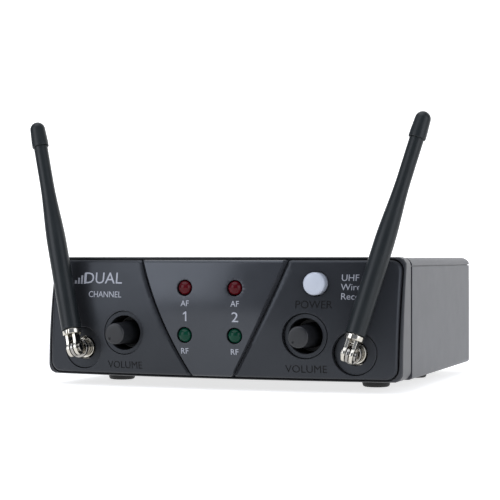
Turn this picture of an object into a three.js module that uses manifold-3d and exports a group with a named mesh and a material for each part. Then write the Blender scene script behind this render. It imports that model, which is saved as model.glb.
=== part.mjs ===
// Two-channel wireless receiver unit with two hinged front antennas.
// Units are millimetres. X runs to the right as seen from the front, Y to the rear and Z up.
// The model is laid out in the case's frame: Z = 0 is the underside of the case, and Y = 0 is the lower
// edge of the front face on the centre line. The last section stands the whole unit on its feet.
import * as THREE from 'three';
import { mergeVertices } from 'three/addons/utils/BufferGeometryUtils.js';
import Module from 'manifold-3d';

const wasm = await Module();
wasm.setup();

// ---------------------------------------------------------------- driving dimensions

const GAP = 0.3; // clearance between pieces that touch
const FAR = 200; // reach of a cutting body past anything it cuts
const SIDES = [['left', -1], ['right', 1]];
const CHANNELS = [['1', -1], ['2', 1]];

const CASE = { halfWidth: 65.3, height: 41.65, rear: 114.3, wall: 2.2, topWall: 2 };
const COVER_HEIGHT = 41.35; // the cover lies a little below the bezel's top
const BEZEL_CORNER = 3;
const CASE_EDGE = { top: 3, bottom: 1.4, upright: 1.2, rearTop: 3, rearBottom: 2.2 }; // edge rounds
const SEAM_Y = 18.7; // joint between the front bezel and the rest of the case
const SEAM_Z = 38.7; // joint between the top cover and the bottom case

const FACE = { height: 42, bow: 4.7, endRake: 5.6, centreBulge: 2.4, endBulge: 1.65 };
const PLATE = { halfWidth: 64.2, taper: 0.25, bottom: 0.6, top: 40.9, corner: 4, thickness: 2.5 };
const BEZEL_SETBACK = 0.9; // how far the bezel's front edge lies behind the plate's surface
const LEDGE = 1.3; // overlap that carries the plate's rim

// The centre panel is a trapezoid with bowed sides, wide at the top, that stands proud of the plate.
const CENTRE = { topHalf: 27.5, bottomHalf: 7.1, sideBow: 1.4, groove: 0.25, pocket: 1.3 };
const CENTRE_RAISE = { bottom: 0.35, top: 1.1 };

const LED = { x: 9.1, afZ: 31.1, rfZ: 15, radius: 2.5, hole: 2.7, proud: 1.2, length: 8.6 };

const KNOB = { x: 33.2, z: 15.2, faceRadius: 3.6, baseRadius: 4.3, reach: 8.5, shaftRadius: 2 };
const WELL = { recessRadius: 7.6, recessDepth: 1, radius: 5.95, depth: 8, wall: 1.3, shaftHole: 3.3 };

const BUTTON = { x: 36.6, z: 32.7, radius: 3.9, proud: 2.8, flange: 4.8, travel: 2.5, plungerRadius: 1.5 };

const SOCKET = { x: 49.8, z: 9.6, recessRadius: 7.35, recessDepth: 1.3, bushRadius: 3.6, boreRadius: 2.3 };
const ANTENNA = {
  pivotReach: 8, // pivot ahead of the socket's floor
  outwardLean: { left: 15.8, right: 14.7 }, // degrees, as the antennas are left standing
  backLean: { left: 10, right: 12.5 }, // degrees
  length: 85.4, // pivot to tip
  armGap: 1.6,
  armThickness: 1.15,
  armRadius: 2.6,
  collarRadius: 3.25,
  collarFrom: 5,
  collarTo: 6.7,
  lowerRadius: 3.5,
  upperRadius: 2.5,
  taperFrom: 42,
  taperTo: 58,
  capRadius: 3,
  capLength: 9.6,
};

// The swivel's ball is cut flat in front, and narrows to a neck. Distances run back from that flat.
const HUB = { radius: 3.4, frontRadius: 3.15, neckRadius: 2.4, widestAt: 0.8, neckAt: 2.7, tailLength: 7 };

// The rivet that the fork folds on, with a small head at each end.
const RIVET = { radius: 0.8, bore: 0.9, leftHead: 1.3, leftProud: 0.7, rightHead: 1.5, rightProud: 0.7 };

const FOOT = {
  x: 48.9,
  rearX: 51.5,
  frontY: 33,
  rearY: 77.5,
  height: 3.8,
  topRadius: 5.3,
  bottomRadius: 4.7,
};
const CASE_SCREW = { x: 57.5, frontY: 30, rearY: 101, headRadius: 2.8, shankRadius: 1.4 };
const BOARD_SCREW = { x: 36, frontY: 36, rearY: 98, headRadius: 2.4, shankRadius: 1 };

const BOARD = { halfWidth: 52, front: 30, rear: 104, bottom: 8, thickness: 1.6 };
const CONTROL_BOARD = { halfWidth: 56, front: 20, bottom: 6, top: 37 };
const BACK_WINDOW = { halfWidth: 55, bottom: 6, top: 36 };
const BACK_PLATE = { halfWidth: 60, bottom: 2.6, top: 38.6, rear: 111.7, thickness: 1.6 };
const JACK = { x: -30, z: 20, boreRadius: 3.3, bushRadius: 5.6, depth: 26 };
const INLET = { x: 30, z: 17, boreRadius: 2.9, pinRadius: 1.05, depth: 9 };

// ---------------------------------------------------------------- materials

const paint = (color, roughness, metalness = 0) =>
  new THREE.MeshStandardMaterial({ color, roughness, metalness });

const MATERIALS = {
  panel: paint('#44464c', 0.35),
  centre: paint('#4a4c54', 0.25),
  bezel: paint('#6e6e74', 0.5),
  shell: paint('#77777d', 0.6),
  rubber: paint('#0d0d0e', 0.8),
  knob: paint('#26292c', 0.5),
  button: paint('#c8cbd7', 0.4),
  antenna: paint('#1c2022', 0.55),
  nickel: paint('#d9d3c6', 0.2, 1),
  steel: paint('#9a9a9c', 0.4, 1),
  redLens: paint('#5a0a10', 0.15),
  greenLens: paint('#033a28', 0.15),
  board: paint('#1d5a35', 0.6),
  component: paint('#1a1a1c', 0.5),
  can: paint('#b8babd', 0.35, 1),
  cable: paint('#2a2a2d', 0.7),
};

// ---------------------------------------------------------------- solids and cuts

// A closed three.js geometry becomes a solid: vertices are shared and empty triangles dropped.
function solid(geometry) {
  geometry.deleteAttribute('normal');
  geometry.deleteAttribute('uv');
  const merged = mergeVertices(geometry, 1e-5);
  const index = merged.index.array;
  const triangles = [];
  for (let i = 0; i < index.length; i += 3) {
    const [a, b, c] = [index[i], index[i + 1], index[i + 2]];
    if (a !== b && b !== c && c !== a) triangles.push(a, b, c);
  }
  const mesh = new wasm.Mesh({
    numProp: 3,
    vertProperties: new Float32Array(merged.attributes.position.array),
    triVerts: new Uint32Array(triangles),
  });
  return new wasm.Manifold(mesh);
}

function geometryOf(body) {
  const mesh = body.getMesh();
  const geometry = new THREE.BufferGeometry();
  geometry.setAttribute('position', new THREE.BufferAttribute(mesh.vertProperties, 3));
  geometry.setIndex(new THREE.BufferAttribute(mesh.triVerts, 1));
  geometry.computeVertexNormals();
  return geometry;
}

const join = (...bodies) => bodies.reduce((all, body) => all.add(body));
const cut = (body, ...tools) => tools.reduce((rest, tool) => rest.subtract(tool), body);

function box([x0, x1], [y0, y1], [z0, z1]) {
  const geometry = new THREE.BoxGeometry(x1 - x0, y1 - y0, z1 - z0);
  return solid(geometry.translate((x0 + x1) / 2, (y0 + y1) / 2, (z0 + z1) / 2));
}

function cylinderY(x, z, radius, y0, y1, sides = 16, frontRadius = radius) {
  const geometry = new THREE.CylinderGeometry(radius, frontRadius, y1 - y0, sides);
  return solid(geometry.translate(x, (y0 + y1) / 2, z));
}

function cylinderZ(x, y, radius, z0, z1, sides = 12, bottomRadius = radius) {
  const geometry = new THREE.CylinderGeometry(radius, bottomRadius, z1 - z0, sides);
  return solid(geometry.rotateX(Math.PI / 2).translate(x, y, (z0 + z1) / 2));
}

function cylinderX(y, z, radius, x0, x1, sides = 12) {
  const geometry = new THREE.CylinderGeometry(radius, radius, x1 - x0, sides);
  return solid(geometry.rotateZ(Math.PI / 2).translate((x0 + x1) / 2, y, z));
}

// A shape drawn in the front view (X, Z), drawn out along Y.
function prismY(shape, y0, y1, curveSegments = 4) {
  const geometry = new THREE.ExtrudeGeometry(shape, { depth: y1 - y0, bevelEnabled: false, curveSegments });
  return solid(geometry.rotateX(Math.PI / 2).translate(0, y1, 0));
}

// A shape drawn in plan (X, Y), drawn out along Z.
function prismZ(shape, z0, z1, curveSegments = 4) {
  const geometry = new THREE.ExtrudeGeometry(shape, { depth: z1 - z0, bevelEnabled: false, curveSegments });
  return solid(geometry.translate(0, 0, z0));
}

// A shape drawn in the side view (Y, Z), drawn out along X.
function prismX(shape, x0, x1, curveSegments = 4) {
  const geometry = new THREE.ExtrudeGeometry(shape, { depth: x1 - x0, bevelEnabled: false, curveSegments });
  geometry.rotateX(Math.PI / 2).rotateZ(Math.PI / 2);
  return solid(geometry.translate(x0, 0, 0));
}

// A body turned about the antenna's own Z axis. The profile lists (radius, height) from axis to axis.
function turnedZ(profile, sides = 14) {
  const points = profile.map(([radius, height]) => new THREE.Vector2(radius, height));
  return solid(new THREE.LatheGeometry(points, sides).rotateX(Math.PI / 2));
}

function roundedRect(x0, x1, y0, y1, radius, topRadius = radius) {
  const shape = new THREE.Shape();
  shape.moveTo(x0 + radius, y0);
  shape.lineTo(x1 - radius, y0);
  shape.absarc(x1 - radius, y0 + radius, radius, -Math.PI / 2, 0);
  shape.lineTo(x1, y1 - topRadius);
  shape.absarc(x1 - topRadius, y1 - topRadius, topRadius, 0, Math.PI / 2);
  shape.lineTo(x0 + topRadius, y1);
  shape.absarc(x0 + topRadius, y1 - topRadius, topRadius, Math.PI / 2, Math.PI);
  shape.lineTo(x0, y0 + radius);
  shape.absarc(x0 + radius, y0 + radius, radius, Math.PI, Math.PI * 1.5);
  return shape;
}

// ---------------------------------------------------------------- the curved front face

// The face bows back towards both ends, more so at the top, and bulges forward at mid height.
function faceY(x, z) {
  const bow = (x / PLATE.halfWidth) ** 2;
  const rise = z / FACE.height;
  const bulge = FACE.centreBulge * (1 - bow) + FACE.endBulge * bow;
  return bow * (FACE.bow + FACE.endRake * rise) - 4 * bulge * rise * (1 - rise);
}

const centreRaise = (z) =>
  THREE.MathUtils.lerp(CENTRE_RAISE.bottom, CENTRE_RAISE.top, z / FACE.height);

// A slab whose front and rear follow the two given functions of (x, z).
function faceSlab(front, rear, halfWidth = CASE.halfWidth + 1, columns = 14, rows = 5) {
  const [z0, z1] = [-1, CASE.height + 1];
  const geometry = new THREE.BoxGeometry(2 * halfWidth, 2, z1 - z0, columns, 1, rows);
  geometry.translate(0, 0, (z0 + z1) / 2);
  const position = geometry.attributes.position;
  for (let i = 0; i < position.count; i += 1) {
    const edge = position.getY(i) < 0 ? front : rear;
    position.setY(i, edge(position.getX(i), position.getZ(i)));
  }
  return solid(geometry);
}

// The plate's outline, grown by `offset`. It is a little wider at the top than at the bottom.
function plateShape(offset) {
  const low = PLATE.halfWidth - PLATE.taper + offset;
  const high = PLATE.halfWidth + PLATE.taper + offset;
  const [z0, z1] = [PLATE.bottom - offset, PLATE.top + offset];
  const radius = PLATE.corner + offset;
  const shape = new THREE.Shape();
  shape.moveTo(radius - low, z0);
  shape.lineTo(low - radius, z0);
  shape.absarc(low - radius, z0 + radius, radius, -Math.PI / 2, 0);
  shape.lineTo(high, z1 - radius);
  shape.absarc(high - radius, z1 - radius, radius, 0, Math.PI / 2);
  shape.lineTo(radius - high, z1);
  shape.absarc(radius - high, z1 - radius, radius, Math.PI / 2, Math.PI);
  shape.lineTo(-low, z0 + radius);
  shape.absarc(radius - low, z0 + radius, radius, Math.PI, Math.PI * 1.5);
  return shape;
}

// Half the centre panel's width at height z.
function centreHalf(z) {
  const rise = z / FACE.height;
  const straight = THREE.MathUtils.lerp(CENTRE.bottomHalf, CENTRE.topHalf, rise);
  return straight + 4 * CENTRE.sideBow * rise * (1 - rise);
}

function centreShape(offset, z0, z1, steps = 6) {
  const heights = Array.from({ length: steps + 1 }, (_, i) => THREE.MathUtils.lerp(z0, z1, i / steps));
  const right = heights.map((z) => new THREE.Vector2(centreHalf(z) + offset, z));
  const left = heights.map((z) => new THREE.Vector2(-centreHalf(z) - offset, z)).reverse();
  return new THREE.Shape([...right, ...left]);
}

const insideBezel = () => {
  const inset = CASE.wall + GAP + 0.2;
  const edge = CASE.halfWidth - inset;
  return prismY(roundedRect(-edge, edge, inset, CASE.height - inset, 2), -FAR, FAR);
};

const wellFloor = faceY(KNOB.x, KNOB.z) + WELL.recessDepth;
const socketFloor = faceY(SOCKET.x, SOCKET.z) + SOCKET.recessDepth;
const FLANGE_THICKNESS = 2;

// ---------------------------------------------------------------- casing

function frontPanel() {
  const rear = (x, z) => faceY(x, z) + PLATE.thickness;
  const plate = prismY(plateShape(0), -FAR, FAR).intersect(faceSlab(faceY, rear));
  const backing = [];
  const cuts = [];
  for (const [, side] of SIDES) {
    const knobX = side * KNOB.x;
    const cupRadius = WELL.radius + WELL.wall;
    const wellBottom = wellFloor + WELL.depth;
    backing.push(cylinderY(knobX, KNOB.z, WELL.recessRadius + 1.2, wellFloor, wellFloor + FLANGE_THICKNESS));
    backing.push(cylinderY(knobX, KNOB.z, cupRadius, wellFloor, wellBottom + 1.2));
    cuts.push(cylinderY(knobX, KNOB.z, WELL.recessRadius, -FAR, wellFloor, 24));
    cuts.push(cylinderY(knobX, KNOB.z, WELL.radius, -FAR, wellBottom, 20));
    cuts.push(cylinderY(knobX, KNOB.z, WELL.shaftHole, -FAR, FAR, 12));

    const socketX = side * SOCKET.x;
    const collarRear = socketFloor + FLANGE_THICKNESS;
    const collar = cylinderY(socketX, SOCKET.z, SOCKET.recessRadius + 1.2, socketFloor, collarRear);
    backing.push(collar.intersect(insideBezel()));
    cuts.push(cylinderY(socketX, SOCKET.z, SOCKET.recessRadius, -FAR, socketFloor, 24));
    cuts.push(cylinderY(socketX, SOCKET.z, SOCKET.bushRadius + GAP, -FAR, FAR, 16));

    for (const z of [LED.afZ, LED.rfZ]) cuts.push(cylinderY(side * LED.x, z, LED.hole, -FAR, FAR, 12));
  }
  cuts.push(cylinderY(BUTTON.x, BUTTON.z, BUTTON.radius + GAP, -FAR, FAR, 20));

  const pocket = faceSlab(() => -FAR, (x, z) => faceY(x, z) + CENTRE.pocket);
  cuts.push(prismY(centreShape(CENTRE.groove, -1, CASE.height + 1), -FAR, FAR).intersect(pocket));
  return cut(join(plate, ...backing), ...cuts);
}

function centrePanel() {
  const front = (x, z) => faceY(x, z) - centreRaise(z);
  const rear = (x, z) => faceY(x, z) + CENTRE.pocket - GAP;
  const outline = prismY(centreShape(-CENTRE.groove, PLATE.bottom, PLATE.top), -FAR, FAR);
  const holes = CHANNELS.flatMap(([, side]) =>
    [LED.afZ, LED.rfZ].map((z) => cylinderY(side * LED.x, z, LED.hole, -FAR, FAR, 12)));
  return cut(outline.intersect(faceSlab(front, rear)), ...holes);
}

const bezelBlock = () =>
  prismY(roundedRect(-CASE.halfWidth, CASE.halfWidth, 0, CASE.height, BEZEL_CORNER), -FAR, FAR);

function frontBezel() {
  const front = (x, z) => faceY(x, z) + BEZEL_SETBACK;
  const floor = (x, z) => faceY(x, z) + PLATE.thickness + GAP;
  const shell = bezelBlock().intersect(faceSlab(front, () => SEAM_Y - GAP / 2));
  const pocket = prismY(plateShape(GAP), -FAR, FAR).intersect(faceSlab(() => -FAR, floor));
  const edge = PLATE.halfWidth - LEDGE;
  const inset = CASE.halfWidth - edge;
  const through = prismY(roundedRect(-edge, edge, inset, CASE.height - inset, 2), -FAR, FAR);
  return cut(shell, pocket, through);
}

// The rounded block that the top cover and the bottom case are both cut from.
function caseBlock() {
  const { halfWidth, rear } = CASE;
  const { top, bottom, upright, rearTop, rearBottom } = CASE_EDGE;
  const height = COVER_HEIGHT;
  const front = SEAM_Y + GAP / 2;
  const section = new THREE.Shape();
  section.moveTo(bottom - halfWidth, 0);
  section.lineTo(halfWidth - bottom, 0);
  section.absarc(halfWidth - bottom, bottom, bottom, -Math.PI / 2, 0);
  section.lineTo(halfWidth, height - top);
  section.absarc(halfWidth - top, height - top, top, 0, Math.PI / 2);
  section.lineTo(top - halfWidth, height);
  section.absarc(top - halfWidth, height - top, top, Math.PI / 2, Math.PI);
  section.lineTo(-halfWidth, bottom);
  section.absarc(bottom - halfWidth, bottom, bottom, Math.PI, Math.PI * 1.5);
  const plan = new THREE.Shape();
  plan.moveTo(-halfWidth, front);
  plan.lineTo(halfWidth, front);
  plan.lineTo(halfWidth, rear - upright);
  plan.absarc(halfWidth - upright, rear - upright, upright, 0, Math.PI / 2);
  plan.lineTo(upright - halfWidth, rear);
  plan.absarc(upright - halfWidth, rear - upright, upright, Math.PI / 2, Math.PI);
  const side = new THREE.Shape();
  side.moveTo(front, 0);
  side.lineTo(rear - rearBottom, 0);
  side.absarc(rear - rearBottom, rearBottom, rearBottom, -Math.PI / 2, 0);
  side.lineTo(rear, height - rearTop);
  side.absarc(rear - rearTop, height - rearTop, rearTop, 0, Math.PI / 2);
  side.lineTo(front, height);
  return prismY(section, -FAR, FAR, 5)
    .intersect(prismZ(plan, -1, height + 1, 4))
    .intersect(prismX(side, -FAR, FAR, 4));
}

const cornerPlaces = ({ x, rearX = x, frontY, rearY }) => SIDES.flatMap(([side, sign]) => [
  { name: `front_${side}`, x: sign * x, y: frontY },
  { name: `rear_${side}`, x: sign * rearX, y: rearY },
]);

function topCover() {
  const { halfWidth, rear, wall, topWall } = CASE;
  const ceiling = COVER_HEIGHT - topWall;
  const above = box([-FAR, FAR], [0, FAR], [SEAM_Z, FAR]);
  const inner = halfWidth - wall;
  const hollow = box([-inner, inner], [0, rear - wall], [-1, ceiling]);
  const lid = cut(caseBlock().intersect(above), hollow);
  const ribs = SIDES.map(([, side]) => {
    const [near, far] = [side * (inner - 1.7), side * (inner - GAP)];
    return box([Math.min(near, far), Math.max(near, far)], [24, 104], [34.8, ceiling + 0.5]);
  });
  const posts = cornerPlaces(CASE_SCREW).map(({ x, y }) => cylinderZ(x, y, 3.2, wall + GAP, ceiling + 0.5));
  const boreRadius = CASE_SCREW.shankRadius + GAP;
  const bores = cornerPlaces(CASE_SCREW).map(({ x, y }) => cylinderZ(x, y, boreRadius, 0, 18, 12));
  return cut(join(lid, ...ribs, ...posts), ...bores);
}

function bottomCase() {
  const { halfWidth, rear, wall } = CASE;
  const below = box([-FAR, FAR], [0, FAR], [-1, SEAM_Z - GAP]);
  const inner = halfWidth - wall;
  const hollow = box([-inner, inner], [0, rear - wall], [wall, FAR]);
  const window = box([-BACK_WINDOW.halfWidth, BACK_WINDOW.halfWidth], [rear - 10, rear + 1],
    [BACK_WINDOW.bottom, BACK_WINDOW.top]);
  const tub = cut(caseBlock().intersect(below), hollow, window);
  const postTop = BOARD.bottom - GAP;
  const posts = cornerPlaces(BOARD_SCREW).map(({ x, y }) => cylinderZ(x, y, 3, wall - 0.5, postTop));
  const postBores = cornerPlaces(BOARD_SCREW).map(({ x, y }) =>
    cylinderZ(x, y, BOARD_SCREW.shankRadius + GAP, 3, BOARD.bottom + 1, 12));
  const screwHoles = cornerPlaces(CASE_SCREW).flatMap(({ x, y }) => [
    cylinderZ(x, y, CASE_SCREW.shankRadius + GAP, -1, wall + 1, 12),
    cylinderZ(x, y, CASE_SCREW.headRadius + GAP, -1, 1.4),
  ]);
  const footHoles = cornerPlaces(FOOT).map(({ x, y }) => cylinderZ(x, y, 1.8 + GAP, -1, wall + 1, 12));
  const slots = SIDES.flatMap(([, side]) => [50, 56, 62, 68, 74].map((y) =>
    box([side * 20 - 9, side * 20 + 9], [y - 1, y + 1], [-1, wall + 1])));
  return cut(join(tub, ...posts), ...postBores, ...screwHoles, ...footHoles, ...slots);
}

function backPlate() {
  const { halfWidth, bottom, top, rear, thickness } = BACK_PLATE;
  const plate = box([-halfWidth, halfWidth], [rear - thickness, rear], [bottom, top]);
  const jackHole = cylinderY(JACK.x, JACK.z, JACK.bushRadius + GAP, rear - 5, rear + 1);
  const inletHole = box([INLET.x - 5 - GAP, INLET.x + 5 + GAP], [rear - 5, rear + 1],
    [INLET.z - 5.5 - GAP, INLET.z + 5.5 + GAP]);
  return cut(plate, jackHole, inletHole);
}

function foot({ x, y }) {
  const { height, topRadius, bottomRadius } = FOOT;
  const profile = [
    [0, -height],
    [bottomRadius - 0.8, -height],
    [bottomRadius - 0.2, -height + 0.25],
    [bottomRadius, -height + 0.9],
    [topRadius, -GAP],
    [1.8, -GAP],
    [1.8, CASE.wall - 0.2],
    [0, CASE.wall - 0.2],
  ];
  return turnedZ(profile, 16).translate([x, y, 0]);
}

// ---------------------------------------------------------------- controls and lights

// Built with its point of contact on the board; the dome looks forward.
function led(x, z) {
  const tip = faceY(x, z) - centreRaise(z) - LED.proud;
  const shoulder = tip + LED.radius;
  const end = tip + LED.length;
  const arc = [0, 1, 2, 3].map((i) => {
    const angle = (i / 3) * (Math.PI / 2);
    return [LED.radius * Math.sin(angle), LED.radius * Math.cos(angle)];
  });
  const profile = [[0, -(end - shoulder)], [2.9, -(end - shoulder)], [2.9, 1 - (end - shoulder)],
    [LED.radius, 1 - (end - shoulder)], ...arc.reverse()];
  const points = profile.map(([radius, height]) => new THREE.Vector2(radius, height));
  const bulb = solid(new THREE.LatheGeometry(points, 12).rotateX(Math.PI).translate(x, shoulder, z));
  const leads = [-1.27, 1.27].map((side) =>
    box([x + side - 0.3, x + side + 0.3], [end - 0.5, CONTROL_BOARD.front - GAP], [z - 0.3, z + 0.3]));
  return join(bulb, ...leads);
}

function knob(x) {
  const front = wellFloor - KNOB.reach;
  const rear = wellFloor + WELL.depth - 0.5;
  const edge = 0.5;
  const body = join(
    cylinderY(x, KNOB.z, KNOB.baseRadius, front + edge, rear, 20, KNOB.faceRadius),
    cylinderY(x, KNOB.z, KNOB.faceRadius, front, front + edge, 20, KNOB.faceRadius - edge),
  );
  const bore = cylinderY(x, KNOB.z, KNOB.shaftRadius + GAP, rear - 9, rear + 1, 12);
  const reach = 2.3 * Math.SQRT1_2; // the index dimple at half past seven
  const dimple = cylinderY(x - reach, KNOB.z - reach, 0.5, front - 1, front + 0.4, 6);
  return cut(body, bore, dimple);
}

const POT = { half: 6, front: wellFloor + WELL.depth + 1.2 + GAP };

function potShaft(x) {
  const front = wellFloor + WELL.depth - 9;
  return cylinderY(x, KNOB.z, KNOB.shaftRadius, front, POT.front + 4, 16);
}

function potBody(x) {
  const rear = CONTROL_BOARD.front - GAP;
  const body = box([x - POT.half, x + POT.half], [POT.front, rear], [KNOB.z - POT.half, KNOB.z + POT.half]);
  return cut(body, cylinderY(x, KNOB.z, KNOB.shaftRadius + 0.1, POT.front - 1, POT.front + 4 + GAP, 16));
}

const buttonFace = faceY(BUTTON.x, BUTTON.z) - BUTTON.proud;
const flangeCorner = faceY(BUTTON.x + BUTTON.flange, BUTTON.z + BUTTON.flange);
const buttonFlange = flangeCorner + PLATE.thickness + GAP;
const SWITCH = { half: 4, front: CONTROL_BOARD.front - GAP - 8 };

function powerButton() {
  const { x, z, radius, flange, plungerRadius } = BUTTON;
  const edge = 0.6;
  const body = join(
    cylinderY(x, z, radius, buttonFace, buttonFace + edge, 20, radius - edge),
    cylinderY(x, z, radius, buttonFace + edge, buttonFlange + 1.5, 20),
    cylinderY(x, z, flange, buttonFlange, buttonFlange + 1.5, 20),
  );
  return cut(body, cylinderY(x, z, plungerRadius + GAP, buttonFlange - 1.5, FAR, 12));
}

const switchPlunger = () =>
  cylinderY(BUTTON.x, BUTTON.z, BUTTON.plungerRadius, buttonFlange - 1.5 + GAP, SWITCH.front + 2, 16);

function switchBody() {
  const { x, z, plungerRadius, travel } = BUTTON;
  const body = box([x - SWITCH.half, x + SWITCH.half], [SWITCH.front, CONTROL_BOARD.front - GAP],
    [z - SWITCH.half, z + SWITCH.half]);
  const socketRear = SWITCH.front + 2 + travel + GAP;
  return cut(body, cylinderY(x, z, plungerRadius + 0.1, SWITCH.front - 1, socketRear, 16));
}

// ---------------------------------------------------------------- electronics

function mainBoard() {
  const { halfWidth, front, rear, bottom, thickness } = BOARD;
  const board = box([-halfWidth, halfWidth], [front, rear], [bottom, bottom + thickness]);
  const holes = cornerPlaces(BOARD_SCREW).map(({ x, y }) =>
    cylinderZ(x, y, BOARD_SCREW.shankRadius + GAP, bottom - 1, bottom + thickness + 1, 12));
  return cut(board, ...holes);
}

function controlBoard() {
  const { halfWidth, front, bottom, top } = CONTROL_BOARD;
  const board = box([-halfWidth, halfWidth], [front, front + BOARD.thickness], [bottom, top]);
  const notches = SIDES.map(([, side]) =>
    box([side * 52 - 8, side * 52 + 8], [front - 1, front + 5], [bottom - 1, SOCKET.z + 6]));
  return cut(board, ...notches);
}

const boardTop = BOARD.bottom + BOARD.thickness + GAP;

// A flat cable that drops from the control board and runs back on the main board.
function ribbonCable() {
  const thickness = 1;
  const [front, rear] = [CONTROL_BOARD.front + BOARD.thickness + GAP, 42];
  const run = box([-12, 12], [front, rear], [boardTop, boardTop + thickness]);
  const rise = box([-12, 12], [front, front + thickness], [boardTop, boardTop + 10]);
  return join(run, rise);
}

const rfCan = (side) => box([side * 35 - 11, side * 35 + 11], [46, 76], [boardTop, boardTop + 7]);

function antennaLead(side) {
  const route = new THREE.CatmullRomCurve3([
    new THREE.Vector3(side * SOCKET.x, socketFloor + 10.3, SOCKET.z),
    new THREE.Vector3(side * SOCKET.x, 22, SOCKET.z),
    new THREE.Vector3(side * (SOCKET.x - 3), 31, 13),
    new THREE.Vector3(side * 42, 39, 13.4),
    new THREE.Vector3(side * 40, 45.7, 13.4),
  ]);
  const section = new THREE.Shape();
  section.absarc(0, 0, 1.1, 0, Math.PI * 2);
  const settings = { steps: 10, curveSegments: 4, bevelEnabled: false, extrudePath: route };
  return solid(new THREE.ExtrudeGeometry(section, settings));
}

function screw({ x, y }, { headRadius, shankRadius }, headZ, headHeight, tipZ) {
  const [low, high] = [headZ, headZ + headHeight].sort((a, b) => a - b);
  const shank = tipZ > high ? [low + 0.1, tipZ] : [tipZ, high - 0.1];
  return join(cylinderZ(x, y, headRadius, low, high), cylinderZ(x, y, shankRadius, ...shank, 8));
}

function hexPrismY(x, z, radius, y0, y1) {
  const geometry = new THREE.CylinderGeometry(radius, radius, y1 - y0, 6);
  return solid(geometry.translate(x, (y0 + y1) / 2, z));
}

const jackFront = BACK_PLATE.rear + 2.5;

function outputJack() {
  const { x, z, bushRadius, boreRadius, depth } = JACK;
  const inside = BACK_PLATE.rear - BACK_PLATE.thickness - GAP;
  const housing = box([x - 8, x + 8], [jackFront - depth - 2, inside], [z - 8, z + 8]);
  const bush = cylinderY(x, z, bushRadius, inside - 1, jackFront);
  return cut(join(housing, bush), cylinderY(x, z, boreRadius, jackFront - depth, FAR));
}

function jackNut() {
  const nut = hexPrismY(JACK.x, JACK.z, 8.2, BACK_PLATE.rear + GAP, BACK_PLATE.rear + 2.2);
  return cut(nut, cylinderY(JACK.x, JACK.z, JACK.bushRadius + GAP, 0, FAR));
}

function dcInlet() {
  const { x, z, boreRadius, pinRadius, depth } = INLET;
  const face = BACK_PLATE.rear + 0.8;
  const body = box([x - 5, x + 5], [face - 13, face], [z - 5.5, z + 5.5]);
  const pin = cylinderY(x, z, pinRadius, face - depth - 1, face - 1, 12);
  return join(cut(body, cylinderY(x, z, boreRadius, face - depth, FAR)), pin);
}

// ---------------------------------------------------------------- antennas

const SOCKET_REAR = 10;

function antennaBush(x) {
  const tube = cylinderY(x, SOCKET.z, SOCKET.bushRadius, socketFloor - 0.2, socketFloor + SOCKET_REAR);
  return cut(tube, cylinderY(x, SOCKET.z, SOCKET.boreRadius, -FAR, socketFloor + SOCKET_REAR - 1.5));
}

function antennaNut(x) {
  const front = socketFloor + FLANGE_THICKNESS + GAP;
  const nut = hexPrismY(x, SOCKET.z, 5.8, front, front + 2.5);
  return cut(nut, cylinderY(x, SOCKET.z, SOCKET.bushRadius + GAP, -FAR, FAR));
}

// The antenna's pieces are laid out about the pivot, with the rod along +Z and the socket along +Y.
const tongueHalf = ANTENNA.armGap / 2 - GAP;
const armOuter = ANTENNA.armGap / 2 + ANTENNA.armThickness;

const rivetBore = () => cylinderX(0, 0, RIVET.bore, -armOuter - 1, armOuter + 1, 12);

function antennaHub() {
  const { pivotReach, armRadius } = ANTENNA;
  const front = armRadius + GAP;
  const widest = front + HUB.widestAt;
  const neck = front + HUB.neckAt;
  const ball = join(
    cylinderY(0, 0, HUB.radius, front, widest, 20, HUB.frontRadius),
    cylinderY(0, 0, HUB.neckRadius, widest, neck, 20, HUB.radius),
    cylinderY(0, 0, HUB.neckRadius, neck - 0.1, pivotReach - 0.5, 20),
  );
  const spigot = cylinderY(0, 0, SOCKET.boreRadius - 0.1, pivotReach - 1, pivotReach + HUB.tailLength);
  const eye = cylinderX(0, 0, armRadius, -tongueHalf, tongueHalf, 16);
  const web = box([-tongueHalf, tongueHalf], [0, armRadius + 1], [-armRadius, armRadius]);
  return cut(join(ball, spigot, eye, web), rivetBore());
}

const antennaPin = () => join(
  cylinderX(0, 0, RIVET.radius, -armOuter - 0.2, armOuter + 0.2, 12),
  cylinderX(0, 0, RIVET.leftHead, -armOuter - RIVET.leftProud, -armOuter - 0.1, 12),
  cylinderX(0, 0, RIVET.rightHead, armOuter + 0.1, armOuter + RIVET.rightProud, 12),
);

function antennaFork() {
  const { armGap, armRadius, armThickness, collarRadius, collarFrom, collarTo } = ANTENNA;
  const arms = [-1, 1].flatMap((side) => {
    const [near, far] = [side * (armGap / 2), side * (armGap / 2 + armThickness)].sort((a, b) => a - b);
    return [
      cylinderX(0, 0, armRadius, near, far, 16),
      box([near, far], [-1.9, 1.9], [0, collarFrom + 0.4]),
    ];
  });
  const collar = turnedZ([
    [0, collarFrom],
    [collarRadius, collarFrom],
    [collarRadius, collarTo],
    [0, collarTo],
  ]);
  const stem = cylinderZ(0, 0, 1.5, collarTo - 0.5, collarTo + 6, 10);
  return cut(join(...arms, collar, stem), rivetBore());
}

function antennaRod() {
  const { collarTo, lowerRadius, upperRadius, taperFrom, taperTo, length, capLength } = ANTENNA;
  const start = collarTo + GAP;
  const end = length - capLength + 5;
  const rod = turnedZ([
    [0, start],
    [lowerRadius - 0.3, start],
    [lowerRadius, start + 0.6],
    [lowerRadius, taperFrom - 6],
    [lowerRadius - 0.25, taperFrom],
    [upperRadius + 0.2, taperTo],
    [upperRadius, taperTo + 6],
    [upperRadius, length - capLength - 0.2],
    [1.6, length - capLength - 0.2],
    [1.6, end],
    [0, end],
  ]);
  return cut(rod, cylinderZ(0, 0, 1.8, start - 1, collarTo + 6.3, 10));
}

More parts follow.
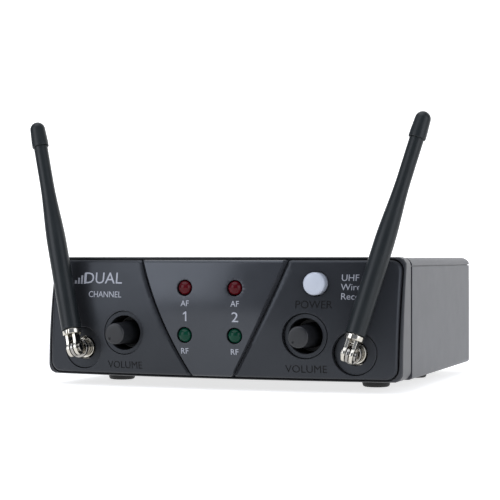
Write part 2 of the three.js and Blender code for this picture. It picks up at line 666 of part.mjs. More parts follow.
function antennaTip() {
  const { length, capLength, capRadius } = ANTENNA;
  const start = length - capLength;
  const dome = [1, 2, 3, 4].map((i) => {
    const angle = (i / 4) * (Math.PI / 2);
    return [capRadius * 0.93 * Math.cos(angle), length - capRadius * 0.93 * (1 - Math.sin(angle))];
  });
  const domeStart = length - capRadius * 0.93;
  const cap = turnedZ([[0, start], [capRadius, start], [capRadius * 0.93, domeStart], ...dome]);
  return cut(cap, cylinderZ(0, 0, 1.9, start - 1, start + 5.3, 10));
}

// ---------------------------------------------------------------- assembly

const receiver = new THREE.Group();

function place(name, body, material, parent = receiver) {
  const mesh = new THREE.Mesh(geometryOf(body), MATERIALS[material]);
  mesh.name = name;
  parent.add(mesh);
}

place('front_panel', frontPanel(), 'panel');
place('centre_panel', centrePanel(), 'centre');
place('front_bezel', frontBezel(), 'bezel');
place('top_cover', topCover(), 'shell');
place('bottom_case', bottomCase(), 'shell');
place('rear_panel', backPlate(), 'bezel');
place('main_board', mainBoard(), 'board');
place('control_board', controlBoard(), 'board');
place('ribbon_cable', ribbonCable(), 'cable');
place('audio_chip', box([-9, 9], [60, 70], [boardTop, boardTop + 3]), 'component');
place('regulator', box([10, 20], [90, 94], [boardTop, boardTop + 12]), 'component');
place('filter_capacitor', cylinderZ(2, 88, 4, boardTop, boardTop + 11), 'component');
place('power_button', powerButton(), 'button');
place('switch_plunger', switchPlunger(), 'component');
place('power_switch_body', switchBody(), 'component');
place('output_jack', outputJack(), 'component');
place('jack_nut', jackNut(), 'nickel');
place('dc_inlet', dcInlet(), 'component');

for (const spot of cornerPlaces(FOOT)) place(`foot_${spot.name}`, foot(spot), 'rubber');
for (const spot of cornerPlaces(CASE_SCREW)) {
  place(`case_screw_${spot.name}`, screw(spot, CASE_SCREW, 0.2, 1, 16), 'steel');
}
for (const spot of cornerPlaces(BOARD_SCREW)) {
  place(`board_screw_${spot.name}`, screw(spot, BOARD_SCREW, boardTop, 1.5, 3.4), 'steel');
}

for (const [channel, side] of CHANNELS) {
  place(`af_led_${channel}`, led(side * LED.x, LED.afZ), 'redLens');
  place(`rf_led_${channel}`, led(side * LED.x, LED.rfZ), 'greenLens');
  place(`volume_knob_${channel}`, knob(side * KNOB.x), 'knob');
  place(`pot_shaft_${channel}`, potShaft(side * KNOB.x), 'steel');
  place(`pot_body_${channel}`, potBody(side * KNOB.x), 'component');
}

for (const [name, side] of SIDES) {
  place(`rf_shield_${name}`, rfCan(side), 'can');
  place(`antenna_lead_${name}`, antennaLead(side), 'cable');
  place(`antenna_bush_${name}`, antennaBush(side * SOCKET.x), 'nickel');
  place(`antenna_nut_${name}`, antennaNut(side * SOCKET.x), 'nickel');

  const swivel = new THREE.Group();
  swivel.position.set(side * SOCKET.x, socketFloor - ANTENNA.pivotReach, SOCKET.z);
  swivel.rotation.y = side * THREE.MathUtils.degToRad(ANTENNA.outwardLean[name]);
  receiver.add(swivel);
  place(`antenna_hub_${name}`, antennaHub(), 'nickel', swivel);

  const arm = new THREE.Group();
  arm.rotation.x = -THREE.MathUtils.degToRad(ANTENNA.backLean[name]);
  swivel.add(arm);
  place(`antenna_pin_${name}`, antennaPin(), 'nickel', arm);
  place(`antenna_fork_${name}`, antennaFork(), 'nickel', arm);
  place(`antenna_rod_${name}`, antennaRod(), 'antenna', arm);
  place(`antenna_tip_${name}`, antennaTip(), 'antenna', arm);
}

// The finished unit stands on its feet. The origin lies on the case's centre plane, midway along the
// unit's depth. The antennas lean differently, so the bounding box's middle is 0.85 mm to its left.
const extent = new THREE.Box3().setFromObject(receiver, true);
receiver.position.y = -(extent.min.y + extent.max.y) / 2;
receiver.position.z = FOOT.height;

const unit = new THREE.Group();
unit.add(receiver);
export default unit;
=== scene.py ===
"""Looks of the two-channel wireless receiver unit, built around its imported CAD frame.

Shapes are written in millimetres in the case's own frame, as in the CAD source: X to the right, Y to the
rear, Z up, with Z = 0 at the case's underside and Y = 0 at the lower edge of the front face. place() moves
them into the row frame in metres.
"""

import math

import bmesh
import bpy
import numpy as np
from mathutils import Matrix, Vector
from mathutils.geometry import delaunay_2d_cdt


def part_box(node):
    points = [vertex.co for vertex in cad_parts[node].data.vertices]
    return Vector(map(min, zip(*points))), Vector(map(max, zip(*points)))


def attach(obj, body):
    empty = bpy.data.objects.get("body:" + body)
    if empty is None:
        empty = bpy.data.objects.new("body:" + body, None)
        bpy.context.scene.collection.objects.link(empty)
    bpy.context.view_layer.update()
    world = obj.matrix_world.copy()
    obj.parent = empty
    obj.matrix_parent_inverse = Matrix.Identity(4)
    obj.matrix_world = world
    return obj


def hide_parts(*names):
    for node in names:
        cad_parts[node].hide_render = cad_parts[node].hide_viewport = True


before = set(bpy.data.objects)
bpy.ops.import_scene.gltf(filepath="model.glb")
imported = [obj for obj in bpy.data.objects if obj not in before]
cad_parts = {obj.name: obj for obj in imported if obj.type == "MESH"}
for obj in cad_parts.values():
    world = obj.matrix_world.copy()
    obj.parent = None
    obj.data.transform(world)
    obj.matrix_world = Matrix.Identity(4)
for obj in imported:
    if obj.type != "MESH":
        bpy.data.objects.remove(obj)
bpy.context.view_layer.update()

# ------------------------ sizes, in millimetres

MM = 0.001
SIDES = (("left", -1), ("right", 1))
CHANNELS = (("1", -1), ("2", 1))

CASE_HALF, CASE_REAR = 65.3, 114.3
FACE_HEIGHT, BEZEL_HEIGHT, COVER_HEIGHT = 42.0, 41.65, 41.35
WALL, TOP_WALL, BEZEL_CORNER = 2.2, 2.0, 3.0
EDGE_TOP, EDGE_BOTTOM, EDGE_UPRIGHT, EDGE_REAR_TOP, EDGE_REAR_BOTTOM = 3.0, 1.4, 1.2, 3.0, 2.2
SEAM_Y, SEAM_Z = 18.7, 38.55

PLATE_HALF, PLATE_TAPER = 64.2, 0.25
PLATE_BOTTOM, PLATE_TOP, PLATE_CORNER, PLATE_THICK = 0.6, 40.9, 4.0, 2.5
PLATE_GAP = 0.25
RIM_ROUND = 1.1
BEZEL_SETBACK = 0.9

CENTRE_BOTTOM, CENTRE_TOP, CENTRE_BOW = 7.1, 27.5, 1.4
GROOVE = 0.25
RAISE_BOTTOM, RAISE_TOP = 0.35, 1.1

LED_X, AF_Z, RF_Z = 9.1, 31.1, 15.0
LED_RADIUS, LED_HOLE, LED_PROUD, LED_LENGTH, LEAD_SPREAD = 2.5, 2.7, 1.2, 8.6, 1.27

KNOB_X, KNOB_Z = 33.2, 15.2
KNOB_FACE, KNOB_BASE, KNOB_REACH, SHAFT_RADIUS = 3.6, 4.3, 8.5, 2.0
RECESS_RADIUS, RECESS_DEPTH, WELL_RADIUS, WELL_DEPTH = 7.6, 1.0, 5.95, 8.0

BUTTON_X, BUTTON_Z, BUTTON_RADIUS, BUTTON_PROUD = 36.6, 32.7, 3.9, 2.8

SOCKET_X, SOCKET_Z, SOCKET_RADIUS, SOCKET_DEPTH = 49.8, 9.6, 7.35, 1.3
BUSH_RADIUS, BUSH_BORE = 3.6, 2.3
PIVOT_REACH = 8.0
OUTWARD_LEAN = {"left": 15.8, "right": 14.7}
BACK_LEAN = {"left": 10.0, "right": 12.5}
ANTENNA_LENGTH, CAP_LENGTH, CAP_RADIUS = 85.4, 9.6, 2.98
DOME_SHARE, TIP_INSET = 0.91, 0.03  # the tip's dome stays inside the box of the CAD model's faceted one
ROD_LOWER, ROD_UPPER, TAPER_FROM, TAPER_TO = 3.47, 2.48, 38.0, 62.0
ARM_GAP, ARM_THICK, ARM_RADIUS = 1.6, 1.15, 2.6
COLLAR_RADIUS, COLLAR_FROM, COLLAR_TO, SLOT_HALF = 3.23, 5.0, 6.7, 0.23
HUB_RADIUS, HUB_WIDEST_AT, HUB_NECK, HUB_NECK_AT = 3.38, 0.8, 2.4, 2.7
RIVET_RADIUS, LEFT_HEAD, RIGHT_HEAD, HEAD_PROUD = 0.8, 1.3, 1.5, 0.7

FOOT_HEIGHT = 3.8
FOOT_PLACES = (("front", 48.9, 33.0), ("rear", 51.5, 77.5))
SCREW_X, SCREW_FRONT, SCREW_REAR = 57.5, 30.0, 101.0

_, CASE_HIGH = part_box("bottom_case")
CASE_LOW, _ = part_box("bottom_case")
ORIGIN = Vector((0, CASE_HIGH.y - CASE_REAR * MM, CASE_LOW.z))
TO_ROW = Matrix.Translation(ORIGIN) @ Matrix.Scale(MM, 4)


def face_y(x, z):
    """The front face: bowed back towards both ends, more at the top, and bulged forward at mid height."""
    bow = (x / PLATE_HALF) ** 2
    rise = z / FACE_HEIGHT
    bulge = 2.4 * (1 - bow) + 1.65 * bow
    return bow * (4.7 + 5.6 * rise) - 4 * bulge * rise * (1 - rise)


def centre_half(z):
    """Half the width of the raised centre panel at height z."""
    rise = z / FACE_HEIGHT
    return CENTRE_BOTTOM + (CENTRE_TOP - CENTRE_BOTTOM) * rise + 4 * CENTRE_BOW * rise * (1 - rise)


def centre_raise(z):
    return RAISE_BOTTOM + (RAISE_TOP - RAISE_BOTTOM) * z / FACE_HEIGHT


WELL_FLOOR = face_y(KNOB_X, KNOB_Z) + RECESS_DEPTH
SOCKET_FLOOR = face_y(SOCKET_X, SOCKET_Z) + SOCKET_DEPTH

# ------------------------ outlines, as arrays of points


def arc(cx, cy, radius, start, end, steps=10):
    angles = np.radians(np.linspace(start, end, steps + 1))
    return np.column_stack([cx + radius * np.cos(angles), cy + radius * np.sin(angles)])


def circle(cx, cy, radius, steps=72):
    return arc(cx, cy, radius, 0, 360, steps)[:-1]


def spaced(loop, step):
    """The closed loop with its long stretches divided, so that it can follow a curved surface."""
    out = []
    for a, b in zip(loop, np.roll(loop, -1, axis=0)):
        count = max(1, math.ceil(np.linalg.norm(b - a) / step))
        out.extend(a + (b - a) * np.arange(count)[:, None] / count)
    return np.array(out)


def rounded_rect(half_low, half_high, z0, z1, radius, step=1.5):
    """A rectangle with round corners, whose half width may differ between bottom and top."""
    corners = np.vstack([
        arc(half_low - radius, z0 + radius, radius, -90, 0),
        arc(half_high - radius, z1 - radius, radius, 0, 90),
        arc(radius - half_high, z1 - radius, radius, 90, 180),
        arc(radius - half_low, z0 + radius, radius, 180, 270),
    ])
    return spaced(corners, step)


def plate_outline(offset=0.0, step=1.2):
    low, high = PLATE_HALF - PLATE_TAPER + offset, PLATE_HALF + PLATE_TAPER + offset
    return rounded_rect(low, high, PLATE_BOTTOM - offset, PLATE_TOP + offset, PLATE_CORNER + offset, step)


def centre_edge(side, z, offset):
    """A line along one side of the raised centre panel, that far outside it."""
    return np.column_stack([side * (centre_half(z) + offset), z])


def centre_outline(offset, z0, z1, steps=36):
    z = np.linspace(z0, z1, steps + 1)
    return spaced(np.vstack([centre_edge(1, z, offset), centre_edge(-1, z, offset)[::-1]]), 1.2)


def inside(points, loop):
    """Even-odd test of many points against one closed loop."""
    x, y = points[:, 0], points[:, 1]
    result = np.zeros(len(points), bool)
    for (x0, y0), (x1, y1) in zip(loop, np.roll(loop, -1, axis=0)):
        if y0 == y1:
            continue
        crosses = (y0 > y) != (y1 > y)
        result ^= crosses & (x < x0 + (y - y0) * (x1 - x0) / (y1 - y0))
    return result


def distance(points, loop, closed=True):
    """Distance of many points to a polyline."""
    starts, ends = loop, np.roll(loop, -1, axis=0)
    if not closed:
        starts, ends = loop[:-1], loop[1:]
    best = np.full(len(points), np.inf)
    for a, b in zip(starts, ends):
        along = b - a
        share = np.clip(((points - a) @ along) / (along @ along), 0, 1)
        best = np.minimum(best, np.hypot(*(points - a - share[:, None] * along).T))
    return best


def fillet(points, radius, steps=5):
    """A polyline with each inner corner rounded. radius is one number or one for each inner corner."""
    points = [np.array(p, float) for p in points]
    radii = [radius] * (len(points) - 2) if np.isscalar(radius) else radius
    out = [points[0]]
    for before, corner, after, r in zip(points, points[1:], points[2:], radii):
        u, v = before - corner, after - corner
        lu, lv = np.linalg.norm(u), np.linalg.norm(v)
        u, v = u / lu, v / lv
        half = math.acos(np.clip(u @ v, -1, 1)) / 2
        reach = min(r / math.tan(half), 0.49 * lu, 0.49 * lv) if r > 0 else 0
        if reach < 1e-6:
            out.append(corner)
            continue
        start, end = corner + u * reach, corner + v * reach
        for t in np.linspace(0, 1, steps + 1):
            out.append((1 - t) ** 2 * start + 2 * t * (1 - t) * corner + t * t * end)
    out.append(points[-1])
    return out


# ------------------------ meshes


def disc(radius, low, high):
    """The profile of a plain disc or shank between two heights."""
    return [(0, low), (radius, low), (radius, high), (0, high)]


def level_circle(radius, height, sides):
    angles = [2 * math.pi * i / sides for i in range(sides)]
    return [(radius * math.cos(a), radius * math.sin(a), height) for a in angles]


def lathe(profile, sides=64):
    """A closed body turned about Z. The profile lists (radius, height) from axis to axis."""
    bm = bmesh.new()
    rings = []
    for radius, height in profile:
        points = [(0, 0, height)] if radius < 1e-6 else level_circle(radius, height, sides)
        rings.append([bm.verts.new(p) for p in points])
    for low, high in zip(rings, rings[1:]):
        for i in range(sides):
            j = (i + 1) % sides
            corners = [low[i % len(low)], low[j % len(low)], high[j % len(high)], high[i % len(high)]]
            unique = list(dict.fromkeys(corners))
            if len(unique) > 2:
                bm.faces.new(unique)
    bmesh.ops.recalc_face_normals(bm, faces=bm.faces)
    return bm


def closed_ring(loops):
    """A closed ring skinned over loops with equal numbers of points, the last one meeting the first."""
    bm = bmesh.new()
    rings = [[bm.verts.new(p) for p in loop] for loop in loops]
    for low, high in zip(rings, rings[1:] + rings[:1]):
        for i in range(len(low)):
            j = (i + 1) % len(low)
            bm.faces.new([low[i], low[j], high[j], high[i]])
    bmesh.ops.recalc_face_normals(bm, faces=bm.faces)
    return bm


def ring_lathe(profile, sides=64):
    """A closed ring turned about Z, from a closed profile that stays off the axis."""
    return closed_ring([level_circle(radius, height, sides) for radius, height in profile])


def turned_y(bm, x, z):
    """Lays a body turned about Z along Y, its height becoming Y, with its axis at (x, z)."""
    turn = Matrix(((1, 0, 0, x), (0, 0, 1, 0), (0, -1, 0, z), (0, 0, 0, 1)))
    bm.transform(turn)
    return bm


def lathe_y(profile, x, z, sides=64):
    return turned_y(lathe(profile, sides), x, z)


def moved(bm, x=0, y=0, z=0):
    bm.transform(Matrix.Translation((x, y, z)))
    return bm


def rounded_box(low, high, radius=0.3, segments=3):
    bm = bmesh.new()
    bmesh.ops.create_cube(bm, size=1)
    low, high = Vector(low), Vector(high)
    size = high - low
    bm.transform(Matrix.Translation((low + high) / 2) @ Matrix.Diagonal((*size, 1)))
    if radius:
        bmesh.ops.bevel(bm, geom=bm.edges, offset=radius, segments=segments, affect="EDGES", profile=0.5)
    return bm


def mesh_of(bm, name="scratch"):
    mesh = bpy.data.meshes.new(name)
    bm.to_mesh(mesh)
    bm.free()
    return mesh


def in_scene(name, data):
    obj = bpy.data.objects.new(name, data)
    bpy.context.scene.collection.objects.link(obj)
    return obj


def joined(*parts):
    """Several bodies in one mesh, each still closed by itself."""
    whole = bmesh.new()
    for part in parts:
        mesh = mesh_of(part)
        whole.from_mesh(mesh)
        bpy.data.meshes.remove(mesh)
    return whole


def discard(obj):
    mesh = obj.data
    bpy.data.objects.remove(obj)
    bpy.data.meshes.remove(mesh)


def with_modifiers(bm, *settings):
    """The mesh after modifiers, each given as (type, {property: value}), worked out at millimetre scale."""
    obj = in_scene("scratch", mesh_of(bm))
    for kind, values in settings:
        modifier = obj.modifiers.new(kind.lower(), kind)
        for key, value in values.items():
            setattr(modifier, key, value)
    depsgraph = bpy.context.evaluated_depsgraph_get()
    mesh = bpy.data.meshes.new_from_object(obj.evaluated_get(depsgraph))
    out = bmesh.new()
    out.from_mesh(mesh)
    bpy.data.meshes.remove(mesh)
    discard(obj)
    return out


def cut(bm, tool, operation="DIFFERENCE"):
    other = in_scene("scratch", mesh_of(tool))
    out = with_modifiers(bm, ("BOOLEAN", {"object": other, "operation": operation, "solver": "EXACT"}))
    discard(other)
    return out


def softened(bm, width=0.25, segments=3, angle=35):
    """Small rounds along every sharp edge."""
    return with_modifiers(bm, ("BEVEL", {
        "width": width, "segments": segments, "limit_method": "ANGLE",
        "angle_limit": math.radians(angle), "use_clamp_overlap": True,
    }))


def terrace(outline, front, back, steps=(), holes=(), lines=(), grid=1.5):
    """A plate seen from the front, whose surfaces are y = front(x, z) and y = back(x, z).

    steps are (loops, depth): the plate's front lies that much deeper inside those loops. holes are loops cut
    right through, and lines are polylines that the mesh follows, so that a bend in the surface stays crisp.
    """
    points, edges = [], []

    def add(line, closed):
        start = len(points)
        points.extend(map(tuple, line))
        count = len(line)
        edges.extend((start + i, start + (i + 1) % count) for i in range(count if closed else count - 1))

    add(outline, True)
    for loop in holes:
        add(loop, True)
    for loops, _ in steps:
        for loop in loops:
            add(loop, True)
    for line in lines:
        add(line, False)
    low, high = outline.min(0), outline.max(0)
    xs, zs = np.arange(low[0], high[0], grid), np.arange(low[1], high[1], grid)
    mesh_points = np.array([(x + 0.5 * grid * (row % 2), z) for row, z in enumerate(zs) for x in xs])
    taken = np.array(points)
    near = np.array([np.min(np.hypot(*(taken - p).T)) for p in mesh_points])
    points.extend(map(tuple, mesh_points[near > 0.45 * grid]))

    flat, _, triangles, *_ = delaunay_2d_cdt([Vector(p) for p in points], edges, [], 0, 1e-5)
    flat = np.array([tuple(p) for p in flat])
    triangles = np.array([list(t) for t in triangles])
    middles = flat[triangles].mean(1)
    keep = inside(middles, outline)
    for loop in holes:
        keep &= ~inside(middles, loop)
    depth = np.zeros(len(triangles))
    for loops, amount in steps:
        within = np.zeros(len(triangles), bool)
        for loop in loops:
            within ^= inside(middles, loop)
        depth[within] += amount
    triangles, depth = triangles[keep], depth[keep]

    y_front, y_back = front(flat), back(flat)
    bm = bmesh.new()
    made = {}

    def vertex(i, level):
        if (i, level) not in made:
            y = y_back[i] if level is None else y_front[i] + level
            made[i, level] = bm.verts.new((flat[i][0], y, flat[i][1]))
        return made[i, level]

    sides = {}
    for (a, b, c), level in zip(triangles, depth):
        bm.faces.new([vertex(i, level) for i in (a, b, c)])
        bm.faces.new([vertex(i, None) for i in (c, b, a)])
        for i, j in ((a, b), (b, c), (c, a)):
            sides.setdefault((min(i, j), max(i, j)), []).append(level)
    for (i, j), levels in sides.items():
        if len(levels) == 1:
            bm.faces.new([vertex(i, levels[0]), vertex(j, levels[0]), vertex(j, None), vertex(i, None)])
        elif levels[0] != levels[1]:
            first, second = levels
            bm.faces.new([vertex(i, first), vertex(j, first), vertex(j, second), vertex(i, second)])
    bmesh.ops.recalc_face_normals(bm, faces=bm.faces)
    return bm


def place(name, bm, body, nodes, slot, material, matrix=None, sharp=38):
    """Makes the finished piece from a mesh in millimetres, hangs it on its body's empty and hides the CAD
    parts that it replaces.
    """
    mesh = mesh_of(bm, name)
    mesh.transform(TO_ROW @ (matrix or Matrix.Identity(4)))
    mesh.polygons.foreach_set("use_smooth", [True] * len(mesh.polygons))
    mesh.set_sharp_from_angle(angle=math.radians(sharp))
    mesh.materials.append(material)
    obj = in_scene(name, mesh)
    shading = obj.modifiers.new("face_weighted_normals", "WEIGHTED_NORMAL")
    shading.keep_sharp = True
    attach(obj, body)
    if nodes:
        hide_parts(*nodes)
    return obj


# ------------------------ materials


def set_inputs(node, values):
    for key, value in values.items():
        node.inputs[key].default_value = value


class Nodes:
    """A short way to build a node tree around one Principled shader."""

    def __init__(self, name, settings):
        self.material = bpy.data.materials.new(name)
        self.material.use_nodes = True
        self.tree = self.material.node_tree
        self.shader = self.tree.nodes["Principled BSDF"]
        set_inputs(self.shader, settings)
        self.place = self.add("ShaderNodeTexCoord", {}).outputs["Object"]

    def add(self, kind, values):
        node = self.tree.nodes.new(kind)
        set_inputs(node, values)
        return node

    def link(self, source, target):
        self.tree.links.new(source, target)

    def noise(self, scale, detail=3.0, stretch=(1, 1, 1)):
        """A noise pattern with about `scale` features to a metre."""
        source = self.place
        if stretch != (1, 1, 1):
            mapping = self.add("ShaderNodeMapping", {"Scale": stretch})
            self.link(source, mapping.inputs["Vector"])
            source = mapping.outputs["Vector"]
        node = self.add("ShaderNodeTexNoise", {"Scale": scale, "Detail": detail})
        self.link(source, node.inputs["Vector"])
        return node.outputs["Fac"]

    def roughness(self, source, low, high):
        limits = {"From Min": 0.3, "From Max": 0.7, "To Min": low, "To Max": high}
        node = self.add("ShaderNodeMapRange", limits)
        self.link(source, node.inputs["Value"])
        self.link(node.outputs["Result"], self.shader.inputs["Roughness"])

    def colours(self, source, first, second, from_low=0.3, from_high=0.7):
        ramp = self.add("ShaderNodeValToRGB", {})
        stops = (from_low, first), (from_high, second)
        for element, (position, colour) in zip(ramp.color_ramp.elements, stops):
            element.position = position
            element.color = (*colour, 1)
        self.link(source, ramp.inputs["Fac"])
        self.link(ramp.outputs["Color"], self.shader.inputs["Base Color"])

    def bump(self, source, strength, depth_mm=0.02):
        node = self.add("ShaderNodeBump", {"Strength": strength, "Distance": depth_mm * MM})
        self.link(source, node.inputs["Height"])
        previous = self.shader.inputs["Normal"]
        if previous.is_linked:
            self.link(previous.links[0].from_socket, node.inputs["Normal"])
        self.link(node.outputs["Normal"], previous)


def grey(value, tint=(1, 1, 1)):
    return tuple(value * t for t in tint)


def moulded(name, dark, light, rough, grain, strength, coat=0.0, specular=0.5, drift=0.03,
             sheen=(1, 1, 1)):
    """Moulded plastic: faint colour drift, uneven gloss and a fine grain."""
    nodes = Nodes(name, {
        "Coat Weight": coat, "Coat Roughness": 0.12,
        "Specular IOR Level": specular, "Specular Tint": (*sheen, 1),
    })
    nodes.colours(nodes.noise(45, 4), dark, light)
    nodes.roughness(nodes.noise(160, 5), rough - drift, rough + drift)
    nodes.bump(nodes.noise(grain, 2), strength)
    nodes.bump(nodes.noise(90, 2), drift, 0.03)
    return nodes.material


COOL = (0.93, 0.98, 1.12)
BLUE_SHEEN = (0.86, 0.92, 1.0)
PANEL = moulded("panel_plastic", grey(0.016, COOL), grey(0.020, COOL), 0.34, 5200, 0.16, specular=0.34,
                sheen=BLUE_SHEEN)
CENTRE = moulded("centre_plastic", grey(0.022, COOL), grey(0.027, COOL), 0.22, 4200, 0.05, coat=0.08,
                 specular=0.46, sheen=BLUE_SHEEN)
SHELL = moulded("shell_plastic", grey(0.042, COOL), grey(0.048, COOL), 0.42, 3600, 0.25, specular=0.40,
                drift=0.012)
# The front bezel is the same plastic as the shell; this darker copy of it is painted shade on the bezel.
BEZEL_SHADED = moulded("bezel_plastic_painted_shade", grey(0.024, COOL), grey(0.029, COOL), 0.38, 3800, 0.2, specular=0.36,
                drift=0.015)
REAR = moulded("rear_plastic", grey(0.02), grey(0.028), 0.5, 3600, 0.4)
KNOB = moulded("knob_plastic", grey(0.010, COOL), grey(0.014, COOL), 0.34, 4200, 0.2, specular=0.42)
BUTTON = moulded("button_plastic", (0.40, 0.43, 0.49), (0.43, 0.46, 0.52), 0.35, 3000, 0.05, coat=0.2)
COMPONENT = moulded("component_plastic", grey(0.012), grey(0.02), 0.45, 3000, 0.3)
FOOT = moulded("foot_rubber", grey(0.006), grey(0.011), 0.6, 2600, 0.5)
CABLE = moulded("cable_sleeve", grey(0.015), grey(0.022), 0.55, 2400, 0.3)
INK = moulded("panel_ink", (0.30, 0.31, 0.35), (0.34, 0.35, 0.39), 0.55, 5200, 0.2)
# Near-black copy of the panel plastic for the knob wells: painted shade in the wells' depth.
WELL_SHADE = moulded("well_painted_shade", grey(0.001), grey(0.002), 0.3, 3000, 0.03, specular=0.15)
# Near-black sheet for the floors of the engraved words, which are panel plastic: painted shade in the
# engravings.
ENGRAVING_SHADE = moulded("engraving_painted_shade", grey(0.003), grey(0.005), 0.5, 5200, 0.2, specular=0.2)


def antenna_rubber():
    nodes = Nodes("antenna_rubber", {"Specular IOR Level": 0.28})
    nodes.colours(nodes.noise(70, 4), (0.007, 0.0095, 0.0105), (0.010, 0.013, 0.0145))
    nodes.roughness(nodes.noise(240, 4, (1, 1, 0.25)), 0.34, 0.42)
    nodes.bump(nodes.noise(3000, 2), 0.3)
    nodes.bump(nodes.noise(260, 3, (1, 1, 0.1)), 0.15, 0.05)
    return nodes.material


def plated_metal(name, colour, rough, brushed=0.08):
    nodes = Nodes(name, {"Metallic": 1.0})
    nodes.colours(nodes.noise(420, 5), grey(0.82, colour), colour)
    nodes.roughness(nodes.noise(900, 4), rough - 0.05, rough + 0.08)
    nodes.bump(nodes.noise(1500, 3, (1, 1, 6)), brushed)
    return nodes.material


def led_lens(name, deep, bright):
    nodes = Nodes(name, {"IOR": 1.5, "Specular IOR Level": 0.16})
    nodes.colours(nodes.noise(500, 2), deep, bright)
    nodes.roughness(nodes.noise(600, 2), 0.12, 0.17)
    return nodes.material


def circuit_board():
    nodes = Nodes("circuit_board", {"Coat Weight": 0.3, "Coat Roughness": 0.2})
    pattern = {"Scale": 160.0, "Mortar Size": 0.06, "Brick Width": 1.4, "Row Height": 0.35}
    brick = nodes.add("ShaderNodeTexBrick", pattern)
    nodes.link(nodes.place, brick.inputs["Vector"])
    nodes.colours(brick.outputs["Fac"], (0.010, 0.075, 0.028), (0.022, 0.13, 0.05), 0.2, 0.8)
    nodes.roughness(nodes.noise(500, 4), 0.32, 0.45)
    nodes.bump(brick.outputs["Fac"], 0.3)
    return nodes.material


RUBBER = antenna_rubber()
NICKEL = plated_metal("nickel_plate", (0.60, 0.57, 0.50), 0.14)
# A smoother, darker copy of the nickel plate for the hub and the pin: smoother as polished, and darker as
# painted dark reflection.
NICKEL_PAINTED_DARK = plated_metal("polished_nickel_painted_dark", (0.34, 0.325, 0.30), 0.09, 0.03)
STEEL = plated_metal("screw_steel", (0.42, 0.42, 0.43), 0.34)
TIN = plated_metal("shield_tin", (0.62, 0.63, 0.65), 0.3)
RED = led_lens("red_lens", (0.050, 0.0012, 0.003), (0.070, 0.002, 0.005))
GREEN = led_lens("green_lens", (0.0008, 0.026, 0.014), (0.0015, 0.040, 0.022))
BOARD = circuit_board()

# ------------------------ lettering


INK_PROUD, INK_SUNK = 0.03, 0.02


def letter_loops(text, size, x, z, align, narrow):
    """The outlines of a word in millimetres, drawn in the front view."""
    curve = bpy.data.curves.new("word", "FONT")
    curve.body = text
    curve.size = size
    curve.align_x = align
    curve.align_y = "CENTER"
    curve.resolution_u = 3
    obj = in_scene("word", curve)
    depsgraph = bpy.context.evaluated_depsgraph_get()
    mesh = bpy.data.meshes.new_from_object(obj.evaluated_get(depsgraph))
    bm = bmesh.new()
    bm.from_mesh(mesh)
    bmesh.ops.remove_doubles(bm, verts=bm.verts, dist=1e-4)
    rims = [e for e in bm.edges if len(e.link_faces) == 1]
    loops, used = [], set()
    for edge in rims:
        if edge in used:
            continue
        start, at, loop = edge.verts[0], edge.verts[1], [edge.verts[0]]
        used.add(edge)
        while at is not start:
            loop.append(at)
            following = [e for e in at.link_edges if len(e.link_faces) == 1 and e not in used]
            if not following:
                break
            used.add(following[0])
            at = following[0].other_vert(at)
        loops.append(np.array([(x + v.co.x * narrow, z + v.co.y) for v in loop]))
    bm.free()
    bpy.data.objects.remove(obj)
    bpy.data.curves.remove(curve)
    bpy.data.meshes.remove(mesh)
    return loops


def level_bars(x, z, count=4, pitch=1.35, width=0.8):
    """A row of bars that rise to the right, as loops in the front view."""
    loops = []
    for i in range(count):
        left, top = x + i * pitch, z + 1.2 + 0.9 * i
        loops.append(np.array([(left, z), (left + width, z), (left + width, top), (left, top)]))
    return loops


def figure_one(x, z, height=3.3, stem=0.48, flag=0.75):
    """An upright figure one with a slanting flag, as a loop in the front view."""
    low, high = z - height / 2, z + height / 2
    left, right = x - stem / 2, x + stem / 2
    return np.array([
        (right, low), (right, high), (left + 0.1, high), (left - flag, high - 0.65),
        (left - flag, high - 1.1), (left, high - 0.7), (left, low),
    ])


def printed(name, words, surface, slot="centre_plastic", extra=()):
    """Ink that stands a hair proud of the surface y = surface(points)."""
    parts = [ink_of(extra, surface)] if extra else []
    for text, size, x, z, align, narrow in words:
        loops = letter_loops(text, size, x, z, align, narrow)
        parts.append(ink_of(loops, surface))
    place(name, joined(*parts), "case", [], slot, INK)


def ink_of(loops, surface):
    """Each outline that isn't inside another one becomes a thin plate, with the ones inside it as holes."""
    plates = []
    for loop in loops:
        if any(other is not loop and inside(loop[:1], other)[0] for other in loops):
            continue
        holes = [other for other in loops if other is not loop and inside(other[:1], loop)[0]]
        front = lambda p: surface(p) - INK_PROUD
        back = lambda p: surface(p) + INK_SUNK
        plates.append(terrace(loop, front, back, holes=holes, grid=3.0))
    return joined(*plates)


# ------------------------ front panel and centre panel


def rim_drop(away, radius):
    """How far a rounded rim falls back at a distance `away` inside its outline."""
    near = np.clip(away / radius, 0, 1)
    return radius * (1 - np.sqrt(np.clip(1 - (1 - near) ** 2, 0, 1)))


FLANK_WIDTH, FLANK_DEPTH = 0.85, 0.55
ENGRAVING = 0.25
ENGRAVED = (
    ("VOLUME", 3.6, -32.8, 3.9, 0.97), ("VOLUME", 3.6, 33.5, 4.05, 1.02), ("POWER", 3.8, 36.1, 25.6, 0.95),
)
HOLE_ROUND = 0.25
RIM_LINES = (0.08, 0.22, 0.45, 0.75, RIM_ROUND)  # the mesh follows these distances from a rounded rim
HOLE_LINES = (0.06, 0.14, HOLE_ROUND)  # and these around a hole


def face_of(points):
    return face_y(points[:, 0], points[:, 1])


def panel_holes():
    holes = [circle(BUTTON_X, BUTTON_Z, BUTTON_RADIUS + 0.3)]
    for _, side in SIDES:
        holes.append(circle(side * KNOB_X, KNOB_Z, RECESS_RADIUS, 96))
        holes.append(circle(side * SOCKET_X, SOCKET_Z, SOCKET_RADIUS, 96))
    return holes


def led_holes():
    return [circle(side * LED_X, z, LED_HOLE, 48) for _, side in SIDES for z in (AF_Z, RF_Z)]


